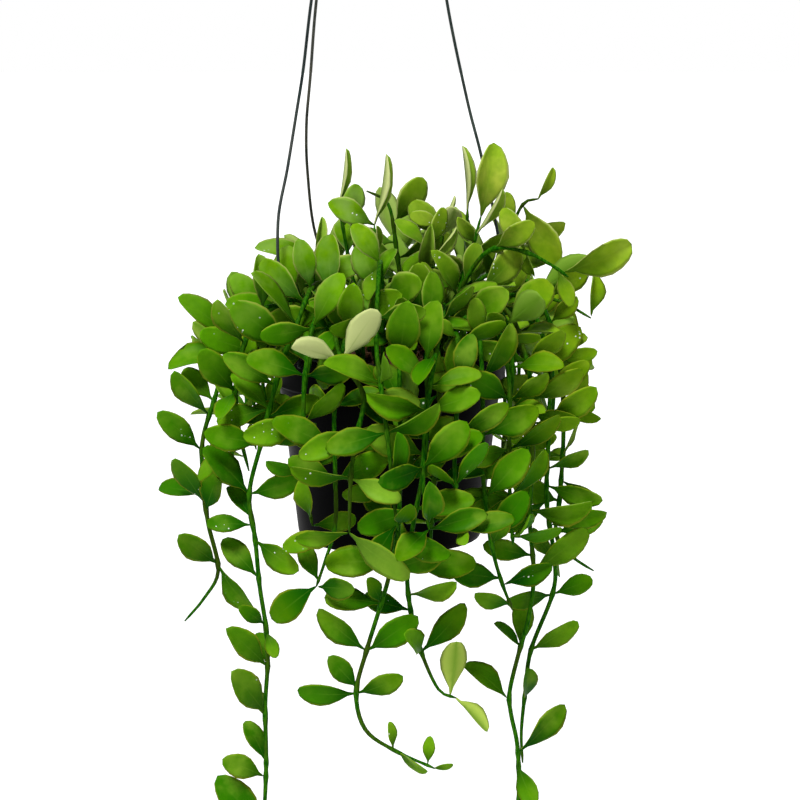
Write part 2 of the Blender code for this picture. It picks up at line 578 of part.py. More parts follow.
class Leaf:
    """A leaf: its seat on the stem, its three axes, its length and how it curves."""

    def __init__(self, seat, along, face, length, width, bend, cup):
        self.along = along.normalized()
        self.across = self.along.cross(face).normalized()
        self.face = self.across.cross(self.along).normalized()
        self.seat = seat + self.along * LEAF_START
        self.length = length
        self.width = width * length
        self.bend = bend
        self.cup = cup

    def point(self, t, u, lift=0.0):
        """A place on the leaf: t from stalk to tip, u from -1 to 1 across, lift off its mid-surface."""
        half = half_width(t) * self.width
        sag = self.cup * half * u * u - self.bend * self.length * t * t
        return (self.seat + self.along * (t * self.length) + self.across * (u * half)
                + self.face * (sag + lift))


def shake(rng, size):
    """A small random vector."""
    return Vector((rng.uniform(-size, size), rng.uniform(-size, size), rng.uniform(-size, size)))


def hand_leaf(rng, seat, spec, attempt):
    """A leaf placed by hand; later tries loosen its direction and shorten it."""
    _, clock, length, lean, turn = spec
    if abs(turn) <= 20:
        turn += rng.uniform(-36, 36)
    loose = 0.05 * attempt
    clock, lean, turn = (math.radians(value) for value in (clock, lean, turn))
    along = math.cos(lean) * (math.cos(clock) * RIGHT + math.sin(clock) * UP) + math.sin(lean) * FRONT
    along = (along + shake(rng, loose)).normalized()
    level = along.cross(FRONT)
    face = level.cross(along).normalized() + shake(rng, 0.15 + loose)
    face.rotate(Quaternion(along, turn))
    shrink = 1 - 0.015 * max(0, attempt - 8)
    return Leaf(seat, along, face, length * MM * shrink, rng.uniform(0.205, 0.240),
                rng.uniform(0.02, 0.12), rng.uniform(-0.05, 0.35))


def grown_leaf(rng, seat, stem_way, side, turn, size, rise, attempt):
    """A leaf that grew by rule: out to its side of the stem, up to the light and away from the pot."""
    loose = 0.22 + 0.035 * attempt
    outward = Vector((seat.x, seat.y, 0.0)).normalized()
    sideways = stem_way.cross(outward)
    if sideways.length < 0.1:
        sideways = stem_way.orthogonal()
    sideways.normalize()
    sideways.rotate(Quaternion(stem_way, turn))
    along = (0.8 * side * sideways + rise * UP + 0.4 * outward + shake(rng, loose)).normalized()
    face = 0.75 * outward + 0.5 * UP + shake(rng, 0.3 + 0.5 * loose)
    shrink = 1 - 0.018 * max(0, attempt - 8)
    return Leaf(seat, along, face, size * MM * shrink, rng.uniform(0.205, 0.240),
                rng.uniform(0.00, 0.16), rng.uniform(-0.05, 0.35))


class Stem:
    """A vine's stem: its points, and places along it by distance or height."""

    def __init__(self, route, root):
        self.points = [spot(*point) for point in smooth_route(vine_route(route, root), STEM_STEP)]
        self.reach = [0.0]
        for start, end in zip(self.points, self.points[1:]):
            self.reach.append(self.reach[-1] + (end - start).length)

    def at(self, distance):
        """Place and direction at a distance along the stem."""
        for index, end in enumerate(self.reach[1:]):
            if distance <= end or index == len(self.reach) - 2:
                break
        start, stop = self.points[index], self.points[index + 1]
        part = (distance - self.reach[index]) / (self.reach[index + 1] - self.reach[index])
        return start.lerp(stop, part), (stop - start).normalized()

    def at_height(self, height):
        """Distance along the stem where it passes a height for the last time."""
        level = height * MM - RIM_DROP
        for index in range(len(self.points) - 2, -1, -1):
            low, high = sorted((self.points[index].z, self.points[index + 1].z))
            if low <= level <= high:
                rise = self.points[index + 1].z - self.points[index].z
                part = (level - self.points[index].z) / rise if abs(rise) > 1e-9 else 0.5
                return min(self.reach[index] + part * (self.reach[index + 1] - self.reach[index]),
                           self.reach[-1] - 0.0015)
        return self.reach[-1] - 0.0015


def leaf_plans(row):
    """Each leaf of a vine as a label and a function that makes its tries."""
    name, route, root, leaves, rise, gap = row
    stem = Stem(route, root)
    plans = []
    first = stem.reach[-1] - 0.002
    for number, spec in enumerate(leaves):
        distance = stem.at_height(spec[0])
        first = min(first, distance - 0.012)
        plans.append(("%s hand %d" % (name, number), stem.at(distance)[0], spec))
    distance = FIRST_NODE
    number = 0
    while distance < first:
        seat, way = stem.at(distance)
        left = (stem.reach[-1] - distance) / MM
        size = LEAF_LENGTH * min(1.08, 0.45 + left / 90)
        for side in (1, -1):
            turn = math.radians(90 * (number % 2) + 35 * (number % 3))
            plans.append(("%s node %d %d" % (name, number, side), seat, (way, side, turn, size, rise)))
        distance += gap * MM * (0.9 + 0.2 * ((number * 7) % 5) / 4)
        number += 1
    return stem, plans


def leaf_tries(plan):
    """The ways one leaf may lie, the tidiest first."""
    label, seat, spec = plan
    rng = Random(label)
    for attempt in range(LEAF_TRIES):
        if " hand " in label:
            yield hand_leaf(rng, seat, spec, attempt)
        else:
            way, side, turn, size, rise = spec
            yield grown_leaf(rng, seat, way, side, turn, size * rng.uniform(0.88, 1.08), rise, attempt)


# ---------------------------------------------------------------- leaves: finding room

class Room:
    """What is already in place, so that no leaf is laid through it."""

    def __init__(self):
        self.things = []

    def add(self, points, faces, vine=""):
        """Keep a shape, with a ball round it for a quick first test."""
        middle = sum(points, Vector()) / len(points)
        radius = max((point - middle).length for point in points)
        self.things.append((middle, radius, BVHTree.FromPolygons(points, faces), vine))

    def is_free(self, leaf, vine):
        """True where a leaf meets nothing in place; the stalk may meet its own vine."""
        points, faces = leaf_envelope(leaf, 0.0007, 0.02)
        middle = sum(points, Vector()) / len(points)
        radius = max((point - middle).length for point in points)
        whole = BVHTree.FromPolygons(points, faces)
        blade = BVHTree.FromPolygons(*leaf_envelope(leaf, 0.0007, min(0.3, 0.0052 / leaf.length)))
        for centre, size, other, owner in self.things:
            if (centre - middle).length > radius + size:
                continue
            if (blade if owner == vine else whole).overlap(other):
                return False
        return True


def loft(rows):
    """Faces between rings of equal size, with both ends closed."""
    size = len(rows[0])
    points = [point for row in rows for point in row]
    faces = []
    for ring in range(len(rows) - 1):
        for index in range(size):
            a = ring * size + index
            b = ring * size + (index + 1) % size
            faces.append((a, b, b + size, a + size))
    faces.append(tuple(reversed(range(size))))
    faces.append(tuple(range(len(points) - size, len(points))))
    return points, faces


def stem_envelope(places, radius):
    """A tube round a stem or wire, for finding room."""
    rows = []
    for index, place in enumerate(places):
        way = (places[min(index + 1, len(places) - 1)] - places[max(index - 1, 0)]).normalized()
        side = way.orthogonal().normalized()
        other = way.cross(side)
        rows.append([place + radius * (math.cos(angle) * side + math.sin(angle) * other)
                     for angle in (2 * math.pi * step / 5 for step in range(5))])
    return loft(rows)


def ring_envelope(profile):
    """A turned surface, for finding room."""
    rows = []
    for radius, height in profile:
        rows.append([Vector((radius * math.cos(angle), radius * math.sin(angle), height - RIM_DROP))
                     for angle in (2 * math.pi * step / 40 for step in range(40))])
    return loft(rows)


def leaf_envelope(leaf, margin, start):
    """A leaf grown by a margin, from a part of its length to its tip."""
    lift = LEAF_THICK + margin
    rows = []
    for step in range(5):
        t = start + (1 - start) * step / 4
        spread = 1 + margin / (half_width(t) * leaf.width)
        rows.append([leaf.point(t, -spread, 0.4 * lift), leaf.point(t, 0.0, lift),
                     leaf.point(t, spread, 0.4 * lift), leaf.point(t, spread, -0.4 * lift),
                     leaf.point(t, 0.0, -lift), leaf.point(t, -spread, -0.4 * lift)])
    return loft(rows)


def furnish(room, rows, stems):
    """Put the pot, the mix, the wires and all stems into the room."""
    room.add(*ring_envelope(pot_profile()[4:11]))
    room.add(*ring_envelope([(0.0001, -MIX_DEPTH), (BAND_RADIUS, -MIX_DEPTH)]))
    room.add(*ring_envelope([(BAND_RADIUS, -0.002), (BASE_RADIUS + 0.001, -POT_HEIGHT)]))
    for name in WIRE_ROUTES:
        places = [spot(*point) for point in wire_route(name)]
        for start in range(0, len(places) - 1, 6):
            room.add(*stem_envelope(places[start:start + 7], WIRE_RADIUS + 0.0007))
    for row, stem in zip(rows, stems):
        for start in range(0, len(stem.points) - 1, 5):
            room.add(*stem_envelope(stem.points[start:start + 6], STEM_RADIUS + 0.0005), row[0])


def lay_leaves(rows):
    """Lay every vine's leaves where there is room: the hand-placed ones first."""
    grown = [leaf_plans(row) for row in rows]
    room = Room()
    furnish(room, rows, [stem for stem, _ in grown])
    laid = [[] for _ in rows]
    for by_hand in (True, False):
        for index, (_, plans) in enumerate(grown):
            for plan in plans:
                if (" hand " in plan[0]) != by_hand:
                    continue
                for leaf in leaf_tries(plan):
                    if room.is_free(leaf, rows[index][0]) and apart(leaf, laid[index]):
                        room.add(*leaf_envelope(leaf, 0.0, 0.02), rows[index][0])
                        laid[index].append(leaf)
                        break
    return [(stem, leaves) for (stem, _), leaves in zip(grown, laid)]


def apart(leaf, others):
    """True where leaves that share a node point well away from each other."""
    for other in others:
        if (other.seat - leaf.seat).length < 0.004 and other.along.dot(leaf.along) > 0.55:
            return False
    return True


# ---------------------------------------------------------------- vines: their solids

def leaf_solid(shape, leaf):
    """A keeled blade: three edges run from the stalk over its widest place to the tip."""
    rows = [[leaf.seat + leaf.across * -0.0006, leaf.seat + leaf.across * 0.0006,
             leaf.seat + leaf.face * -0.0007]]
    rows.append([leaf.point(0.58, -1.0), leaf.point(0.58, 1.0), leaf.point(0.58, 0.0, -1.2 * LEAF_THICK)])
    rings = [[shape.verts.new(point) for point in row] for row in rows]
    tip = shape.verts.new(leaf.point(1.0, 0.0))
    shape.faces.new((rings[0][0], rings[0][2], rings[0][1]))
    for ring, after in zip(rings, rings[1:]):
        for index in range(3):
            following = (index + 1) % 3
            shape.faces.new((ring[index], ring[following], after[following]))
            shape.faces.new((ring[index], after[following], after[index]))
    for index in range(3):
        shape.faces.new((rings[-1][index], rings[-1][(index + 1) % 3], tip))


def make_vine(name, stem, leaves, material, group, cutters):
    """A stem and its leaves, grown into one solid."""
    vine = tube(name, stem.points, STEM_RADIUS, material, group, sides=0)
    shape = bmesh.new()
    for leaf in leaves:
        leaf_solid(shape, leaf)
    bmesh.ops.recalc_face_normals(shape, faces=shape.faces)
    mesh = bpy.data.meshes.new(name + "_leaves")
    shape.to_mesh(mesh)
    shape.free()
    foliage = add_object(name + "_leaves", mesh, material, cutters)
    foliage.hide_render = True
    foliage.display_type = "WIRE"
    join = vine.modifiers.new("Leaves", "BOOLEAN")
    join.operation = "UNION"
    join.solver = "EXACT"
    join.use_self = True
    join.object = foliage
    return vine


def build():
    """Model every piece."""
    clear_scene()
    group = new_collection(PLANT)
    cutters = new_collection("cutters")
    black_plastic = plain_material("black_plastic", (0.010, 0.010, 0.012), 0.45)
    potting_mix = plain_material("potting_mix", (0.045, 0.028, 0.017), 0.95)
    coated_wire = plain_material("coated_wire", (0.040, 0.055, 0.045), 0.40)
    crimped_metal = plain_material("crimped_metal", (0.40, 0.41, 0.42), 0.35, 1.0)
    leaf_green = plain_material("leaf_green", (0.12, 0.33, 0.02), 0.35)

    make_pot(black_plastic, group, cutters)
    turned("potting_mix", at_rim(mix_profile()), potting_mix, group)
    make_wires(coated_wire, group)
    make_ferrule(crimped_metal, group)
    make_hook(coated_wire, group)
    rows = vine_rows()
    for row, (stem, leaves) in zip(rows, lay_leaves(rows)):
        make_vine(row[0], stem, leaves, leaf_green, group, cutters)
    for thing in group.objects:
        if thing.name.startswith(("pot", "hanger")):
            thing.data.shade_smooth()
            thing.data.set_sharp_from_angle(angle=math.radians(35))


build()
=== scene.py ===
"""Potted dischidia, finished: a trailing plant in a hanging nursery pot.

Metres, +Z up, in the frame of the CAD model: the origin is where the hook bears, and the front is at -Y.
Routes of wires and vines are lists in millimetres, measured from the centre of the pot's rim.
"""

import math
from random import Random

import bpy
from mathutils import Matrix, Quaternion, Vector, noise
from mathutils.bvhtree import BVHTree
from mathutils.kdtree import KDTree


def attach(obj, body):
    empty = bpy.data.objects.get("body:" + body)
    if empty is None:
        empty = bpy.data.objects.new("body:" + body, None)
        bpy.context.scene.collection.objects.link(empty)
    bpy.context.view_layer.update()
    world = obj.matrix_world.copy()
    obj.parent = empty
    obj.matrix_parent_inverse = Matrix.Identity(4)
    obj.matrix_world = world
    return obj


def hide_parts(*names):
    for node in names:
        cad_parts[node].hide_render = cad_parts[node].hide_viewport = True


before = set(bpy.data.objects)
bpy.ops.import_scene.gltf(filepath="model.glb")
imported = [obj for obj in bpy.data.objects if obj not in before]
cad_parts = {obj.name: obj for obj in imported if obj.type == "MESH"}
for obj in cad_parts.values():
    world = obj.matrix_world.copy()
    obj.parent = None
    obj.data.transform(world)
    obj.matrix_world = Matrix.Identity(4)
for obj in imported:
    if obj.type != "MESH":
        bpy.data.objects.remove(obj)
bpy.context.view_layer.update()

MM = 0.001
UP = Vector((0, 0, 1))
FRONT = Vector((0, -1, 0))
RIGHT = Vector((1, 0, 0))

# Pot, mix and hanger, as the CAD model has them.
RIM_DROP = 0.470
POT_HEIGHT = 0.114
POT_WALL = 0.0018
BASE_RADIUS = 0.055
TOP_RADIUS = 0.0662
BAND_RADIUS = 0.0688
BAND_HEIGHT = 0.020
FLANGE_RADIUS = 0.074
FLANGE_THICK = 0.002
FOOT_RECESS = 0.003
FOOT_WIDTH = 0.005
DRAIN_RADIUS = 0.004
DRAIN_RING = 0.034
DRAIN_COUNT = 6
GAP = 0.0003
MIX_DEPTH = 0.012
MIX_TOP = -MIX_DEPTH / MM
WIRE_RADIUS = 0.0009
HOLE_RADIUS = 0.0014
HOLE_RING = 70.5
HOLE_BEARINGS = {"hanger_wire_left": 228, "hanger_wire_back": 108, "hanger_wire_right": -12}
BEND_RADIUS = 1.3
BEND_SPAN = 7.0
CLAMP_RING = 2.50
WIRE_SPARE = 2             # millimetres that a wire's top and the shank's foot reach past the clamp
CLAMP_TOP = -0.050
CLAMP_LENGTH = 0.013
CLAMP_INNER = 0.00375
CLAMP_OUTER = 0.0049
HOOK_WIRE = 0.00125
HOOK_BEND = 9.0
HOOK_SHANK = [(0, 0, -40), (1.5, 0, -30), (6.5, 0, -22)]
HOOK_STEP = 1.5

# Vines and leaves, as the CAD model has them.
STEM_RADIUS = 0.0013
STEM_STEP = 18.0
ROOT_RISE = 7.0
LEAF_LENGTH = 35.0
LEAF_START = 0.0004
LEAF_TRIES = 30
FIRST_NODE = 0.030
HAND_CLEAR = 0.012         # a vine's other leaves end this far before its first listed one
STEM_END = 0.0015          # no listed leaf sits nearer than this to its stem's end
STALK = 0.10
LEAF_SIDES = (0.205, 0.240)    # half a leaf's width, as a share of its length
LEAF_CUPS = (-0.05, 0.35)
TIDY_TRIES = 8             # tries that only turn a leaf: each later one shortens it too, by a share
HAND_SHRINK = 0.015
RULED_SHRINK = 0.018
HAND_LOOSENING = 0.05      # how much more each try may turn a leaf than the one before
RULED_LOOSENING = 0.035
LOOSE_TURN = 20            # a listed leaf that is turned no more than this is turned on by chance, by up to this many degrees either way
TURN_CHANCE = 36           # by up to this many degrees either way
TIP_MATCH = 0.00005        # a CAD leaf's tip lies this near to the leaf that it stands for

# Finer shapes.
FINE_STEP = 4.5            # millimetres between the points of a finished stem or wire
LEAF_HALF_THICK = 0.00062
# A finished leaf from stalk to tip: shares of its length, and of its full thickness there.
LEAF_STATIONS = [(0.0, 0.0), (0.05, 0.95), (0.15, 1.0), (0.29, 1.0), (0.45, 1.0), (0.61, 0.97), (0.76, 0.88),
                 (0.88, 0.7), (0.96, 0.45), (1.0, 0.0)]
FOLD = 42                  # degrees that each half of a folded leaf is turned up
CLOSED_FOLD = 54           # the same for a leaf that is nearly closed
CLOSED_FACE = 12           # degrees that such a leaf faces away from the front
FOLDED_TURNS = (60, 80)    # a leaf of an upright shoot that is placed with such a turn is folded
CLOSED_TURN = 66           # and with a turn of no more than this, nearly closed
UNDER_TURN = 120           # a leaf turned further than this shows its underside
RIGHT_DOWN = 300           # a leaf at a wider angle than this points down to the right, or right
SHORT_LEAF = 0.022         # a leaf under this length is young
FULL_CROWN = 0.08          # added width of leaves above the rim, as a share
FULL_BELOW = 0.02          # the same for those below it
ROLL_SHARE = 0.3           # a leaf's roll and added width come in over this share of its length
FOLD_SHARE = 0.2           # its fold comes in over this share, from the stalk's end on
EDGE_WAVES = 1.3           # waves along its edge
STALK_WIDTH = 0.09         # how wide its stalk is, as a share of its width
SLIM_TIP = 0.62            # how thick a stem is near its growing tip, as a share
SLIM_LENGTH = 0.05         # metres from the tip over which it gets there
NODE_SWELL = 1.3
MOST_SWELL = 1.35
STEM_POINT = 0.35          # how thick the very tip is
# Tried in turn until a leaf is clear of the others: how much it keeps of its fold, roll, twist, droop and
# wave, and the radians that it is rolled besides.
EASES = [(1.0, 0.0), (0.5, 0.0), (0.0, 0.0), (0.0, 0.3), (0.0, -0.3), (0.0, 0.6), (0.0, -0.6)]
EASED = ("fold", "roll", "twist", "droop", "wave")

# Crumbs on the mix: what they are called, how many, how far out, and their sizes from and to.
BARK = ("bark", 150, 0.060, (0.003, 0.009))
GRIT = ("grit", 70, 0.061, (0.0012, 0.0028))

# Camera and stage.
CAMERA_AIM = Vector((0.006, 0.0, -0.5023))
CAMERA_PITCH = 10
CAMERA_DISTANCE = 1.3
CAMERA_LENS = 97.5
FLOOR_HEIGHT = -1.05
FLOOR_GLOW = 0.45
FILL_COLOUR = (0.96, 0.98, 1.0, 1.0)
FILL_STRENGTH = 0.08
WHITE = (1.0, 1.0, 1.0, 1.0)
# Each lamp: its name, the direction that it shines from, its strength, and its spread in degrees.
LAMPS = [
    ("key_lamp", (-0.28, -0.62, 1.0), 3.3, 18),
    ("front_lamp", (0.5, -1.0, 0.25), 0.35, 60),
    ("rim_lamp", (0.3, 1.0, 0.6), 0.7, 60),
]

WIRE_ROUTES = {
    "hanger_wire_left": [(-20, -5, 330), (-36, -9, 260), (-45, -10, 204), (-50, -9, 165), (-54, -12, 140),
                         (-59, -24, 108), (-64, -38, 78), (-62, -48, 42), (-52, -53, 20)],
    "hanger_wire_back": [(-19, 5, 330), (-35, 10, 260), (-43, 12, 204), (-47, 16, 160), (-50, 25, 130),
                         (-50, 38, 100), (-46, 52, 62), (-33, 63, 28)],
    "hanger_wire_right": [(15, -1, 330), (26, -2, 260), (33, -3, 204), (45, -6, 147), (53, -10, 116),
                          (62, -13, 76), (68, -15, 36)],
}


# ---------------- places and routes

def spot(x, y, z):
    """A place given in millimetres from the rim's centre, in metres from the origin."""
    return Vector((x * MM, y * MM, z * MM - RIM_DROP))


def polar(radius, bearing, height):
    """Millimetres from the rim's centre, for a radius and a bearing in degrees from +X."""
    angle = math.radians(bearing)
    return (radius * math.cos(angle), radius * math.sin(angle), height)


def smooth_route(points, step):
    """Points about every step along a smooth curve through the given points."""
    corners = [Vector(point) for point in points]
    corners = [2 * corners[0] - corners[1]] + corners + [2 * corners[-1] - corners[-2]]
    route = []
    for before, start, end, after in zip(corners, corners[1:], corners[2:], corners[3:]):
        count = max(1, round((end - start).length / step))
        for index in range(count):
            t = index / count
            route.append(0.5 * (2 * start + (end - before) * t
                                + (2 * before - 5 * start + 4 * end - after) * t ** 2
                                + (3 * start - before - 3 * end + after) * t ** 3))
    return route + [corners[-2]]


def wire_route(name):
    """A hanger wire from the clamp, through its hole in the flange, to its turned-up end."""
    bearing = HOLE_BEARINGS[name]
    clamp_foot = (RIM_DROP + CLAMP_TOP - CLAMP_LENGTH) / MM
    top = polar(CLAMP_RING, bearing, clamp_foot + CLAMP_LENGTH / MM + WIRE_SPARE)
    foot = polar(CLAMP_RING, bearing, clamp_foot)
    slack = [foot] + WIRE_ROUTES[name] + [polar(HOLE_RING, bearing, 8), polar(HOLE_RING, bearing, 2)]
    centre = BEND_RADIUS - (FLANGE_THICK + GAP + WIRE_RADIUS) / MM
    bend = []
    for reach, start in ((BEND_RADIUS, 180), (BEND_SPAN - BEND_RADIUS, 270)):
        for angle in (math.radians(start + 15 * turn) for turn in range(7)):
            bend.append(polar(HOLE_RING + reach + BEND_RADIUS * math.cos(angle), bearing,
                              centre + BEND_RADIUS * math.sin(angle)))
    end = polar(HOLE_RING + BEND_SPAN, bearing, 5)
    return [top] + smooth_route(slack, FINE_STEP) + bend + [end]


# ---------------- vines: where they run

def arch(name, bearing, root, crest, height, reach, end, sway):
    """A vine that rises from the mix, leans over the rim and hangs down outside the pot."""
    drop = height - end
    gap = 24 if bearing < -30 else 30    # nodes are closer on the front and the left
    return (name, [
        polar(root + 0.35 * (crest - root), bearing, 0.55 * height),
        polar(crest, bearing + 0.2 * sway, height),
        polar(crest + 0.75 * (reach - crest), bearing + 0.5 * sway, height - 0.16 * drop),
        polar(reach, bearing + 0.8 * sway, height - 0.45 * drop),
        polar(reach - 2, bearing + sway, height - 0.75 * drop),
        polar(reach - 7, bearing + sway, end),
    ], polar(root, bearing, MIX_TOP), (), 0.5, gap)


def shoot(name, root, route, leaves, rise=1.1, gap=22):
    """A vine that is shaped point by point, with its listed leaves."""
    return (name, route, (*root, MIX_TOP), leaves, rise, gap)
